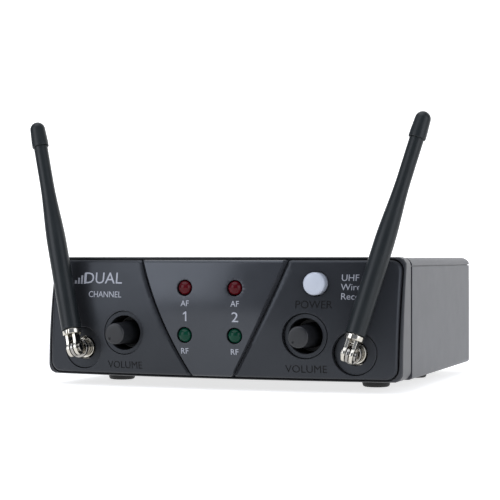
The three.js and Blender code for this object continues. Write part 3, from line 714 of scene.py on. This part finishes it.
def closed_line(loop):
    return np.vstack([loop, loop[:1]])


def hole_collars(holes):
    """Closed lines around round holes, so that the mesh follows their rounded rims."""
    collars = []
    for loop in holes:
        middle = loop.mean(0)
        radius = np.linalg.norm(loop[0] - middle)
        collars += [closed_line(circle(*middle, radius + d, len(loop))) for d in HOLE_LINES]
    return collars


def front_panel():
    outline = plate_outline(-PLATE_GAP)
    holes = panel_holes()
    z = np.linspace(-1, FACE_HEIGHT + 1, 50)
    flank_tops = [centre_edge(side, z, GROOVE + FLANK_WIDTH) for _, side in SIDES]
    groove_edges = [centre_edge(side, z, GROOVE) for _, side in SIDES]

    def front(points):
        y = face_of(points)
        y = y + rim_drop(distance(points, outline), RIM_ROUND)
        from_groove = np.abs(points[:, 0]) - centre_half(points[:, 1]) - GROOVE
        y = y + FLANK_DEPTH * np.clip(1 - from_groove / FLANK_WIDTH, 0, 1)
        for hole in holes:
            y = y + rim_drop(distance(points, hole), HOLE_ROUND)
        return y

    back = lambda points: face_of(points) + PLATE_THICK
    closed = [closed_line(plate_outline(-PLATE_GAP - d)) for d in RIM_LINES] + hole_collars(holes)
    pocket = centre_outline(GROOVE, -1, FACE_HEIGHT + 1)
    words = [letter_loops(text, size, x, z, "CENTER", wide) for text, size, x, z, wide in ENGRAVED]
    steps = [([pocket], 1.3 - FLANK_DEPTH)] + [(loops, ENGRAVING) for loops in words]
    plate = terrace(outline, front, back, steps, holes + led_holes(), closed + flank_tops + groove_edges)

    parts = [plate]
    bush_hole = BUSH_RADIUS + 0.5
    for _, side in SIDES:
        parts.append(flat_ring(side * KNOB_X, KNOB_Z, WELL_FLOOR, WELL_RADIUS, RECESS_RADIUS, 0.3))
        parts.append(flat_ring(side * SOCKET_X, SOCKET_Z, SOCKET_FLOOR, bush_hole, SOCKET_RADIUS, 0.2))
    place("front_panel_shell", joined(*parts), "case", ["front_panel"], "panel_plastic", PANEL)


def flat_ring(x, z, face, inner, hole, lip):
    """The flat ring in a round hole of the panel, around a knob's well or an antenna's bush."""
    outer, rear = hole - 0.13, face + 2
    corners = [(inner, rear), (inner, face), (outer, face), (outer, rear), (inner, rear)]
    profile = fillet(corners, [lip, 0.15, 0.1])
    return turned_y(ring_lathe(profile[:-1], 96), x, z)


def knob_well(channel, x):
    """The deep glossy well that a volume knob stands in."""
    inner, outer = WELL_RADIUS + 0.02, WELL_RADIUS + 1.3
    floor = WELL_FLOOR + WELL_DEPTH
    profile = fillet([
        (3.3, floor), (inner, floor), (inner, WELL_FLOOR + 0.35), (inner + 0.5, WELL_FLOOR + 0.35),
        (outer, WELL_FLOOR + 2), (outer, floor + 1.2), (3.3, floor + 1.2), (3.3, floor),
    ], [0.8, 0.05, 0.1, 0.2, 0.2, 0.1])
    well = turned_y(ring_lathe(profile[:-1], 96), x, KNOB_Z)
    # The well is panel plastic; its near-black colour is painted shade.
    place(f"knob_well_{channel}", well, "case", [], "panel_plastic", WELL_SHADE)


def centre_front(points):
    return face_of(points) - centre_raise(points[:, 1])


def centre_panel():
    outline = centre_outline(-GROOVE, PLATE_BOTTOM + PLATE_GAP, PLATE_TOP - PLATE_GAP)
    holes = led_holes()

    def flank_width(z):
        return 0.45 + 0.75 * z / FACE_HEIGHT

    def front(points):
        x, z = points[:, 0], points[:, 1]
        width = flank_width(z)
        from_groove = centre_half(z) - GROOVE - np.abs(x)
        share = np.clip(1 - from_groove / width, 0, 1)
        y = centre_front(points) + (centre_raise(z) + FLANK_DEPTH) * share
        edge = np.minimum(z - PLATE_BOTTOM, PLATE_TOP - z) - PLATE_GAP
        y = y + rim_drop(edge, RIM_ROUND)
        for hole in holes:
            y = y + rim_drop(distance(points, hole), HOLE_ROUND)
        return y

    back = lambda points: face_of(points) + 1.0
    z = np.linspace(PLATE_BOTTOM + PLATE_GAP, PLATE_TOP - PLATE_GAP, 60)
    lines = []
    for _, side in SIDES:
        for share in (1.0, 0.9):
            lines.append(centre_edge(side, z, -GROOVE - share * flank_width(z)))
    for d in RIM_LINES:
        for level in (PLATE_BOTTOM + PLATE_GAP + d, PLATE_TOP - PLATE_GAP - d):
            half = centre_half(level) - GROOVE - 0.05
            x = np.linspace(-half, half, 40)
            lines.append(np.column_stack([x, np.full_like(x, level)]))
    panel = terrace(outline, front, back, (), holes, lines + hole_collars(holes))
    place("centre_panel_shell", panel, "case", ["centre_panel"], "centre_plastic", CENTRE)


def lettering():
    """Plain generic marks: channel numbers, signal names and the unit's function."""
    words = []
    for _, side in SIDES:
        words.append(("AF", 2.8, side * LED_X + 0.25, 25.72, "CENTER", 0.96))
        words.append(("RF", 2.8, side * LED_X - 0.15, 9.42, "CENTER", 1.0))
    words.append(("2", 4.8, LED_X + 0.3, 21.1, "CENTER", 1.15))
    printed("centre_print", words, centre_front, extra=[figure_one(-LED_X + 0.6, 21.4)])
    function = (("UHF", 34.6), ("Wireless", 31.5), ("Receiver", 28.4))
    words = [(text, 3.1, 44.9, z, "LEFT", 1.0) for text, z in function]
    words.append(("DUAL", 5.6, -34.2, 34.0, "RIGHT", 1.12))
    words.append(("CHANNEL", 3.0, -34.2, 28.4, "RIGHT", 1.0))
    printed("panel_print", words, face_of, "panel_plastic", level_bars(-54.6, 32.1))
    # A near-black sheet at the floor of each engraved word: painted shade.
    parts = []
    for text, size, x, z, wide in ENGRAVED:
        loops = letter_loops(text, size, x, z, "CENTER", wide)
        parts.append(ink_of(loops, lambda points: face_of(points) + ENGRAVING))
    place("engraved_letters", joined(*parts), "case", [], "panel_plastic", ENGRAVING_SHADE)


# ------------------------ casing


def front_bezel():
    def ring(half, height_inset, radius):
        return rounded_rect(half, half, height_inset, BEZEL_HEIGHT - height_inset, radius, 1.5)

    steps = 200

    def resampled(loop):
        """The loop with an even number of points, starting at the middle of its bottom edge."""
        start = np.argmin(np.abs(loop[:, 0]) + 10 * (loop[:, 1] > BEZEL_HEIGHT / 2))
        loop = np.roll(loop, -start, axis=0)
        closed = closed_line(loop)
        length = np.concatenate([[0], np.cumsum(np.hypot(*np.diff(closed, axis=0).T))])
        at = np.linspace(0, length[-1], steps, endpoint=False)
        return np.column_stack([np.interp(at, length, closed[:, k]) for k in (0, 1)])

    def outer(inset):
        return resampled(ring(CASE_HALF - inset, inset, BEZEL_CORNER - inset * 0.5))

    pocket = resampled(plate_outline(0.3))
    edge = PLATE_HALF - 1.3
    through = resampled(ring(edge, CASE_HALF - edge, 2))
    rear = SEAM_Y - 0.15
    round_front, tuck, tuck_length = 0.8, 0.42, 2.6
    sections = []
    for share in (1.0, 0.8, 0.6, 0.4, 0.2, 0.0):
        sections.append((outer(tuck * share ** 2), None, rear - tuck_length * (1 - share)))
    for angle in np.radians([0, 20, 40, 60, 80, 90]):
        inset = round_front * (1 - math.cos(angle))
        sections.append((outer(min(inset, 0.3)), BEZEL_SETBACK + round_front * (1 - math.sin(angle)), None))
    sections.append((pocket, BEZEL_SETBACK, None))
    sections.append((pocket, PLATE_THICK + 0.3, None))
    sections.append((through, PLATE_THICK + 0.3, None))
    sections.append((through, None, rear))
    loops = []
    for loop, behind, flat in sections:
        depth = np.full(steps, flat) if flat is not None else face_of(loop) + behind
        loops.append([(x, y, z) for (x, z), y in zip(loop, depth)])
    # The bezel takes the darker copy of the shell plastic: painted shade.
    place("front_bezel_shell", closed_ring(loops), "case", ["front_bezel"], "shell_plastic", BEZEL_SHADED)


def prism(outline, axis, start, end):
    """A closed prism along X, Y or Z. Its outline is given in the other two axes, in alphabetical order."""
    bm = bmesh.new()
    order = {"X": (2, 0, 1), "Y": (0, 2, 1), "Z": (0, 1, 2)}[axis]
    ends = []
    for level in (start, end):
        points = np.column_stack([outline, np.full(len(outline), level)])[:, order]
        ends.append([bm.verts.new(p) for p in points])
    near, far = ends
    bm.faces.new(near)
    bm.faces.new(far[::-1])
    for i in range(len(near)):
        j = (i + 1) % len(near)
        bm.faces.new([near[i], near[j], far[j], far[i]])
    bmesh.ops.recalc_face_normals(bm, faces=bm.faces)
    return bm


def case_block():
    """The rounded block that the cover and the bottom case are cut from."""
    front, low, top, up = SEAM_Y + 0.2, EDGE_BOTTOM, EDGE_TOP, EDGE_UPRIGHT
    half, height, rear = CASE_HALF, COVER_HEIGHT, CASE_REAR
    section = np.vstack([
        arc(half - low, low, low, -90, 0), arc(half - top, height - top, top, 0, 90),
        arc(top - half, height - top, top, 90, 180), arc(low - half, low, low, 180, 270),
    ])
    plan = np.vstack([
        [(-half - 1, front), (half + 1, front), (half + 1, rear - up)],
        arc(half - up, rear - up, up, 0, 90), arc(up - half, rear - up, up, 90, 180),
        [(-half - 1, rear - up)],
    ])
    side = np.vstack([
        [(front - 1, -1), (rear - EDGE_REAR_BOTTOM, -1)],
        arc(rear - EDGE_REAR_BOTTOM, EDGE_REAR_BOTTOM, EDGE_REAR_BOTTOM, -90, 0),
        arc(rear - EDGE_REAR_TOP, height - EDGE_REAR_TOP, EDGE_REAR_TOP, 0, 90),
        [(rear - EDGE_REAR_TOP, height + 1), (front - 1, height + 1)],
    ])
    block = prism(section, "Y", front - 1, rear + 1)
    for tool in (prism(plan, "Z", -2, height + 2), prism(side, "X", -half - 2, half + 2)):
        block = cut(block, tool, "INTERSECT")
    return block


def case_shell(above):
    """The part of the case above or below the side seam, hollow."""
    inner, rear = CASE_HALF - WALL, CASE_REAR - WALL
    seam = 0.17
    if above:
        keep = rounded_box((-90, 0, SEAM_Z + seam), (90, 130, 60), 0)
        hollow = rounded_box((-inner, 0, -5), (inner, rear, COVER_HEIGHT - TOP_WALL), 0)
    else:
        keep = rounded_box((-90, 0, -5), (90, 130, SEAM_Z - seam), 0)
        hollow = rounded_box((-inner, 0, WALL), (inner, rear, 60), 0)
    return cut(cut(case_block(), keep, "INTERSECT"), hollow)


def seam_tongue():
    """A thin rim in the middle of the walls that bridges the gap between the cover and the bottom case."""
    front, reach = SEAM_Y + 0.6, 0.6

    def slab(inset, ahead=0, beyond=0):
        half = CASE_HALF - inset
        low = (-half, front - 0.1 * inset - ahead, SEAM_Z - reach - beyond)
        high = (half, CASE_REAR - inset, SEAM_Z + reach + beyond)
        return rounded_box(low, high, 0)

    return cut(slab(0.7), slab(1.6, 5, 1))


def top_cover():
    parts = [softened(case_shell(True), 0.14), seam_tongue()]
    inner = CASE_HALF - WALL
    for _, side in SIDES:
        low, high = sorted((side * (inner - 1.7), side * (inner - 0.3)))
        parts.append(rounded_box((low, 24, 34.8), (high, 104, 39.9), 0.2))
        for y in (SCREW_FRONT, SCREW_REAR):
            column = lathe(fillet(disc(3.2, 2.6, 39.9), 0.2), 32)
            bore = lathe(disc(1.7, 0, 18), 32)
            parts.append(moved(cut(column, bore), side * SCREW_X, y))
    place("top_cover_shell", joined(*parts), "case", ["top_cover"], "shell_plastic", SHELL)


def bottom_case():
    shell = case_shell(False)
    tools = [rounded_box((-55, CASE_REAR - 10, 6), (55, CASE_REAR + 1, 36), 0)]
    for _, side in SIDES:
        for _, x, y in FOOT_PLACES:
            tools.append(moved(lathe(disc(2.1, -1, 4), 32), side * x, y))
        for y in (SCREW_FRONT, SCREW_REAR):
            hole = [(0, -1), (3.1, -1), (3.1, 1.4), (1.7, 1.4), (1.7, 4), (0, 4)]
            tools.append(moved(lathe(hole, 32), side * SCREW_X, y))
        for y in range(50, 75, 6):
            tools.append(rounded_box((side * 20 - 9, y - 1, -1), (side * 20 + 9, y + 1, 4), 0))
    shell = softened(cut(shell, joined(*tools)), 0.14)
    parts = [shell]
    for _, side in SIDES:
        for y in (36, 98):
            column = lathe(fillet(disc(3, 2.0, 7.7), 0.2), 32)
            bore = lathe(disc(1.3, 3, 9), 32)
            parts.append(moved(cut(column, bore), side * 36, y))
    place("bottom_case_shell", joined(*parts), "case", ["bottom_case"], "shell_plastic", SHELL)


def foot(name, x, y):
    profile = fillet([(0, -FOOT_HEIGHT), (4.65, -FOOT_HEIGHT), (5.3, -0.15), (1.9, -0.15), (1.9, 2), (0, 2)],
                     [1.1, 0.25, 0.1, 0.3])
    place(f"foot_pad_{name}", moved(lathe(profile, 64), x, y), "case", [f"foot_{name}"], "foot_rubber", FOOT)


def case_screw(name, x, y):
    corners = [(0, 0.2), (2.8, 0.2), (2.8, 0.7), (1.4, 1.25), (1.4, 16), (0, 16)]
    head = lathe(fillet(corners, [0.25, 0.1, 0.1, 0.3]), 48)
    cross = joined(
        rounded_box((-1.5, -0.28, 0), (1.5, 0.28, 0.75), 0),
        rounded_box((-0.28, -1.5, -0.01), (0.28, 1.5, 0.76), 0),
    )
    screw = moved(cut(head, cross), x, y)
    place(f"case_screw_part_{name}", screw, "case", [f"case_screw_{name}"], "screw_steel", STEEL)


# ------------------------ controls and lights


def volume_knob(channel, x):
    front, rear = WELL_FLOOR - KNOB_REACH, WELL_FLOOR + WELL_DEPTH - 0.5
    bore = SHAFT_RADIUS + 0.3
    profile = fillet([
        (0, front + 0.02), (2.2, front + 0.05), (KNOB_FACE, front + 0.12), (3.75, front + 8),
        (KNOB_BASE, rear - 1.2), (KNOB_BASE, rear), (bore, rear), (bore, rear - 9), (0, rear - 9),
    ], [0.5, 0.9, 6, 0.5, 0.3, 0.2, 0.2], 8)
    body = lathe_y(profile, x, KNOB_Z, 96)
    reach = 2.35 * math.sqrt(0.5)
    dimple = bmesh.new()
    bmesh.ops.create_uvsphere(dimple, u_segments=24, v_segments=16, radius=0.42)
    moved(dimple, x - reach, front, KNOB_Z - reach)
    cap = cut(body, dimple)
    node = f"volume_knob_{channel}"
    place(f"volume_knob_cap_{channel}", cap, f"volume_{channel}", [node], "knob_plastic", KNOB)


def power_button():
    face = face_y(BUTTON_X, BUTTON_Z) - BUTTON_PROUD
    _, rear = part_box("power_button")
    rear = (rear.y - ORIGIN.y) / MM
    profile = fillet([
        (0, face), (1.8, face + 0.03), (BUTTON_RADIUS - 0.05, face + 0.15),
        (BUTTON_RADIUS - 0.02, rear - 1.5), (4.75, rear - 1.5), (4.75, rear),
        (1.8, rear), (1.8, rear - 3), (0, rear - 3),
    ], [0.5, 1.5, 0.1, 0.2, 0.2, 0.1, 0.1], 10)
    button = lathe_y(profile, BUTTON_X, BUTTON_Z, 96)
    place("power_button_cap", button, "power", ["power_button"], "button_plastic", BUTTON)


def led(name, x, z, material, slot):
    tip = face_y(x, z) - centre_raise(z) - LED_PROUD
    shoulder, end = tip + LED_RADIUS, tip + LED_LENGTH
    angles = np.linspace(0, math.pi / 2, 14)
    dome = [(LED_RADIUS * math.sin(a), shoulder - LED_RADIUS * math.cos(a)) for a in angles]
    flange = fillet([(LED_RADIUS, end - 1.05), (2.9, end - 1.05), (2.9, end), (0, end)], [0.05, 0.15])
    profile = dome + flange
    bulb = lathe_y(profile, x, z)
    _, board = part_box(name)
    board = (board.y - ORIGIN.y) / MM
    leads = []
    for lead_x in (x - LEAD_SPREAD, x + LEAD_SPREAD):
        low = (lead_x - 0.25, end - 0.4, z - 0.25)
        leads.append(rounded_box(low, (lead_x + 0.25, board, z + 0.25), 0.05))
    place(f"{name}_lens", joined(bulb, *leads), "case", [name], slot, material)


# ------------------------ sockets at the rear

BACK_FACE = 111.7
JACK_X, JACK_Z, INLET_X, INLET_Z = -30.0, 20.0, 30.0, 17.0


def countersunk(radius, mouth, low, flare_low, flare_high, high):
    """A round cutter about Z that widens or narrows from radius to mouth between two heights."""
    flare = [(radius, low), (radius, flare_low), (mouth, flare_high), (mouth, high)]
    return lathe([(0, low), *flare, (0, high)], 64)


def output_jack():
    front = BACK_FACE + 2.5
    inside_face = BACK_FACE - 1.6 - 0.3
    housing = rounded_box((JACK_X - 8, front - 28, JACK_Z - 8), (JACK_X + 8, inside_face, JACK_Z + 8), 0.5)
    bush = lathe_y(fillet(disc(5.55, inside_face - 1, front), 0.4), JACK_X, JACK_Z)
    bore = turned_y(countersunk(3.3, 3.9, front - 26, front - 0.4, front + 0.2, front + 2), JACK_X, JACK_Z)
    body = softened(cut(cut(housing, bush, "UNION"), bore), 0.12)
    place("output_jack_part", body, "case", ["output_jack"], "component", COMPONENT)


def hex_nut(x, z, radius, bore, y0, y1):
    blank = lathe_y(disc(radius, y0, y1), x, z, 6)
    wide, narrow, top = radius * 0.99, radius * 0.86, y1 + 0.2
    corners = [(0, y0 - 1), (wide, y0 - 1), (wide, y1 - 0.55), (narrow, top), (0, top)]
    chamfer = lathe_y(corners, x, z)
    hole = lathe_y(disc(bore, y0 - 1, y1 + 1), x, z)
    return softened(cut(cut(blank, chamfer, "INTERSECT"), hole), 0.1)


def dc_inlet():
    face = BACK_FACE + 0.8
    body = rounded_box((INLET_X - 5, face - 13, INLET_Z - 5.5), (INLET_X + 5, face, INLET_Z + 5.5), 0.4)
    bore = turned_y(countersunk(2.9, 3.3, face - 9, face - 0.3, face + 0.1, face + 1), INLET_X, INLET_Z)
    pin = lathe_y(fillet(disc(1.05, face - 10, face - 1), 0.35), INLET_X, INLET_Z, 32)
    shell = softened(cut(body, bore), 0.1)
    place("dc_inlet_part", joined(shell, pin), "case", ["dc_inlet"], "component", COMPONENT)


# ------------------------ antennas


def antenna_bush(name, x):
    front, rear = SOCKET_FLOOR - 0.2, SOCKET_FLOOR + 10
    bottom = rear - 1.5
    profile = fillet([
        (BUSH_BORE, bottom), (BUSH_BORE, front), (BUSH_RADIUS, front), (BUSH_RADIUS, rear),
        (0, rear), (0, bottom),
    ], [0.2, 0.25, 0.3, 0])
    bush = lathe_y([(0, bottom), *profile[:-1]], x, SOCKET_Z)
    place(f"antenna_bush_part_{name}", bush, "case", [f"antenna_bush_{name}"], "nickel", NICKEL)
    nut = hex_nut(x, SOCKET_Z, 5.75, BUSH_RADIUS + 0.3, SOCKET_FLOOR + 2.3, SOCKET_FLOOR + 4.8)
    place(f"antenna_nut_part_{name}", nut, "case", [f"antenna_nut_{name}"], "nickel", NICKEL)


def eye_plate(x0, x1, radius, top, half):
    """A flat arm with a round end about the pivot, reaching up along Z."""
    shoulder = radius * 0.9
    outline = np.vstack([
        arc(0, 0, radius, 150, 390, 32),
        [(half, shoulder), (half, top), (-half, top), (-half, shoulder)],
    ])
    return prism(outline, "X", x0, x1)


def turned_x(bm):
    """Lays a body turned about Z along X."""
    bm.transform(Matrix.Rotation(math.pi / 2, 4, "Y"))
    return bm


def antenna_fork():
    arms = []
    for side in (-1, 1):
        near, far = sorted((side * ARM_GAP / 2, side * (ARM_GAP / 2 + ARM_THICK)))
        arms.append(softened(eye_plate(near, far, ARM_RADIUS, COLLAR_FROM + 0.5, 1.9), 0.18))
    collar = lathe(fillet(disc(COLLAR_RADIUS, COLLAR_FROM, COLLAR_TO), 0.22), 64)
    slot = rounded_box((-SLOT_HALF, -COLLAR_RADIUS - 1, COLLAR_FROM - 1), (SLOT_HALF, -2, COLLAR_TO + 1), 0)
    collar = cut(collar, slot)
    stem = lathe(disc(1.5, COLLAR_TO - 0.5, COLLAR_TO + 6), 32)
    return joined(*arms, collar, stem)


def antenna_hub():
    """A ball cut flat in front, narrowing to a neck and a spigot, with the tongue that the fork folds on."""
    front, rear = ARM_RADIUS + 0.3, PIVOT_REACH - 0.5
    widest, neck = front + HUB_WIDEST_AT, front + HUB_NECK_AT
    stretch = (HUB_RADIUS ** 2 - HUB_NECK ** 2) / (neck - widest) ** 2
    depths = np.linspace(front, neck, 18)
    ball = [(math.sqrt(HUB_RADIUS ** 2 - stretch * (y - widest) ** 2), y) for y in depths]
    ball = [(0, front), (ball[0][0] - 0.12, front), (ball[0][0], front + 0.08)] + ball[1:]
    head = lathe_y(ball + [(HUB_NECK, rear), (0, rear)], 0, 0)
    spigot = lathe_y(disc(BUSH_BORE - 0.1, rear - 0.5, PIVOT_REACH + 7), 0, 0, 48)
    half = ARM_GAP / 2 - 0.3
    tongue = eye_plate(-half, half, ARM_RADIUS, ARM_RADIUS + 0.8, ARM_RADIUS * 0.95)
    tongue.transform(Matrix.Rotation(-math.pi / 2, 4, "X"))
    return joined(head, spigot, softened(tongue, 0.15))


def antenna_pin():
    """A riveted pin: a shank, a round head on one side and a slotted one on the other."""
    outer = ARM_GAP / 2 + ARM_THICK
    left, right = -outer - HEAD_PROUD, outer + HEAD_PROUD
    shank = turned_x(lathe(disc(RIVET_RADIUS, -outer - 0.3, outer + 0.3), 32))
    rivet = turned_x(lathe(fillet(disc(LEFT_HEAD, left, -outer - 0.05), [0.45, 0.1], 8), 48))
    head = turned_x(lathe(fillet(disc(RIGHT_HEAD, outer + 0.05, right), [0, 0.3]), 48))
    slot_tool = rounded_box((outer + 0.4, -2, -0.18), (outer + 1, 2, 0.18), 0)
    return joined(shank, rivet, cut(head, slot_tool))


def antenna_rod():
    start, top = COLLAR_TO + 0.25, ANTENNA_LENGTH - CAP_LENGTH - 0.1
    profile = [(0, start)] + fillet([(0, start), (ROD_LOWER, start), (ROD_LOWER, start + 4)], 0.35)[1:]
    for t in np.linspace(0, 1, 25):
        smooth = t * t * (3 - 2 * t)
        radius = ROD_LOWER + (ROD_UPPER - ROD_LOWER) * smooth
        profile.append((radius, TAPER_FROM + (TAPER_TO - TAPER_FROM) * t))
    profile += [(ROD_UPPER, top), (0, top)]
    return lathe(profile, 64)


def antenna_tip():
    start, end = ANTENNA_LENGTH - CAP_LENGTH, ANTENNA_LENGTH - TIP_INSET
    dome = CAP_RADIUS * DOME_SHARE
    profile = fillet([(0, start), (CAP_RADIUS, start), (CAP_RADIUS, start + 2)], 0.3)
    for angle in np.radians(np.linspace(0, 90, 16)):
        profile.append((dome * math.cos(angle), end - dome * (1 - math.sin(angle))))
    profile[-1] = (0, end)
    return lathe(profile, 64)


def antenna(name, side):
    pivot = Matrix.Translation((side * SOCKET_X, SOCKET_FLOOR - PIVOT_REACH, SOCKET_Z))
    swivel = pivot @ Matrix.Rotation(side * math.radians(OUTWARD_LEAN[name]), 4, "Y")
    arm = swivel @ Matrix.Rotation(-math.radians(BACK_LEAN[name]), 4, "X")
    hub_node = f"antenna_hub_{name}"
    # The hub and the pin take the darker nickel copy: painted dark reflection.
    place(f"antenna_hub_part_{name}", antenna_hub(), f"{name}_swivel", [hub_node], "nickel", NICKEL_PAINTED_DARK, swivel)
    arm_parts = (
        ("pin", antenna_pin(), "nickel", NICKEL_PAINTED_DARK),
        ("fork", antenna_fork(), "nickel", NICKEL),
        ("rod", antenna_rod(), "antenna_rubber", RUBBER),
        ("tip", antenna_tip(), "antenna_rubber", RUBBER),
    )
    for part, bm, slot, material in arm_parts:
        node = f"antenna_{part}_{name}"
        place(f"antenna_{part}_part_{name}", bm, f"{name}_arm", [node], slot, material, arm)


# ------------------------ the whole unit

front_panel()
centre_panel()
lettering()
front_bezel()
top_cover()
bottom_case()
for side_name, sign in SIDES:
    for end, foot_x, foot_y in FOOT_PLACES:
        foot(f"{end}_{side_name}", sign * foot_x, foot_y)
    case_screw(f"front_{side_name}", sign * SCREW_X, SCREW_FRONT)
    case_screw(f"rear_{side_name}", sign * SCREW_X, SCREW_REAR)
    antenna_bush(side_name, sign * SOCKET_X)
    antenna(side_name, sign)
for channel_name, sign in CHANNELS:
    knob_well(channel_name, sign * KNOB_X)
    volume_knob(channel_name, sign * KNOB_X)
    led(f"af_led_{channel_name}", sign * LED_X, AF_Z, RED, "red_lens")
    led(f"rf_led_{channel_name}", sign * LED_X, RF_Z, GREEN, "green_lens")
power_button()
output_jack()
jack_nut = hex_nut(JACK_X, JACK_Z, 8.15, 5.9, BACK_FACE + 0.3, BACK_FACE + 2.2)
place("jack_nut_part", jack_nut, "case", ["jack_nut"], "nickel", NICKEL)
dc_inlet()

CAD_MATERIALS = {
    "rear_panel": REAR, "main_board": BOARD, "control_board": BOARD, "ribbon_cable": CABLE,
    "audio_chip": COMPONENT, "regulator": COMPONENT, "filter_capacitor": COMPONENT,
    "switch_plunger": COMPONENT, "power_switch_body": COMPONENT,
}
for node_name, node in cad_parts.items():
    if node.hide_render:
        continue
    chosen = CAD_MATERIALS.get(node_name)
    if chosen is None:
        chosen = TIN if "shield" in node_name else CABLE if "lead" in node_name else STEEL
    if node_name.startswith("pot_body"):
        chosen = COMPONENT
    node.data.materials.clear()
    node.data.materials.append(chosen)

# ------------------------ floor, light and camera


def plain_sheet(name, half, glow):
    """A pale sheet for the floor or the backdrop, with a little light of its own, centred on the origin."""
    bm = bmesh.new()
    bmesh.ops.create_grid(bm, x_segments=1, y_segments=1, size=half)
    mesh = mesh_of(bm, name)
    nodes = Nodes(f"{name}_paint", {
        "Roughness": 0.9, "Specular IOR Level": 0.1,
        "Emission Color": (1, 1, 1, 1), "Emission Strength": glow,
    })
    nodes.colours(nodes.noise(3, 2), grey(0.62), grey(0.64))
    mesh.materials.append(nodes.material)
    obj = in_scene(name, mesh)
    return obj


def floor_and_backdrop():
    plain_sheet("floor", 3.0, FLOOR_GLOW)
    backdrop = plain_sheet("backdrop", 3.0, BACKDROP_GLOW)
    backdrop.location = (0, 2.5, 2.9)
    backdrop.rotation_euler = (math.pi / 2, 0, 0)


def area_light(name, position, size, watts):
    light = bpy.data.lights.new(name, "AREA")
    light.shape = "RECTANGLE"
    light.size, light.size_y = size
    light.energy = watts
    light.color = LIGHT_TINT
    obj = in_scene(name, light)
    obj.location = position
    obj.rotation_euler = (Vector(LIGHT_TARGET) - Vector(position)).to_track_quat("-Z", "Y").to_euler()


WORLD_COLOUR, WORLD_STRENGTH = (0.86, 0.94, 1.10, 1), 0.26
LIGHT_TARGET, LIGHT_TINT = (0, 0, 0.03), (0.95, 0.98, 1.06)
FLOOR_GLOW, BACKDROP_GLOW = 0.72, 1.0
LIGHTS = (
    ("top_box", (-0.2, -0.25, 1.15), (1.3, 1.1), 8.0),
    ("right_box", (1.0, -0.36, 0.35), (0.7, 0.9), 4.5),
    ("left_front_box", (-0.62, -0.86, 0.42), (0.75, 0.7), 4.4),
)


def lights():
    world = bpy.data.worlds.new("studio")
    world.use_nodes = True
    background = world.node_tree.nodes["Background"]
    set_inputs(background, {"Color": WORLD_COLOUR, "Strength": WORLD_STRENGTH})
    bpy.context.scene.world = world
    for light in LIGHTS:
        area_light(*light)


CAMERA_PLACE, CAMERA_YAW, CAMERA_PITCH, CAMERA_LENS = (186.6, -476.9, 41.6), 19.92, 0.27, 108


def camera():
    data = bpy.data.cameras.new("camera")
    data.sensor_width = 36
    data.lens = CAMERA_LENS
    data.clip_start, data.clip_end = 0.01, 20
    obj = in_scene("camera", data)
    obj.location = TO_ROW @ Vector(CAMERA_PLACE)
    obj.rotation_euler = (math.pi / 2 + math.radians(CAMERA_PITCH), 0, math.radians(CAMERA_YAW))
    bpy.context.scene.camera = obj


floor_and_backdrop()
lights()
camera()
bpy.context.scene.view_settings.view_transform = "Standard"
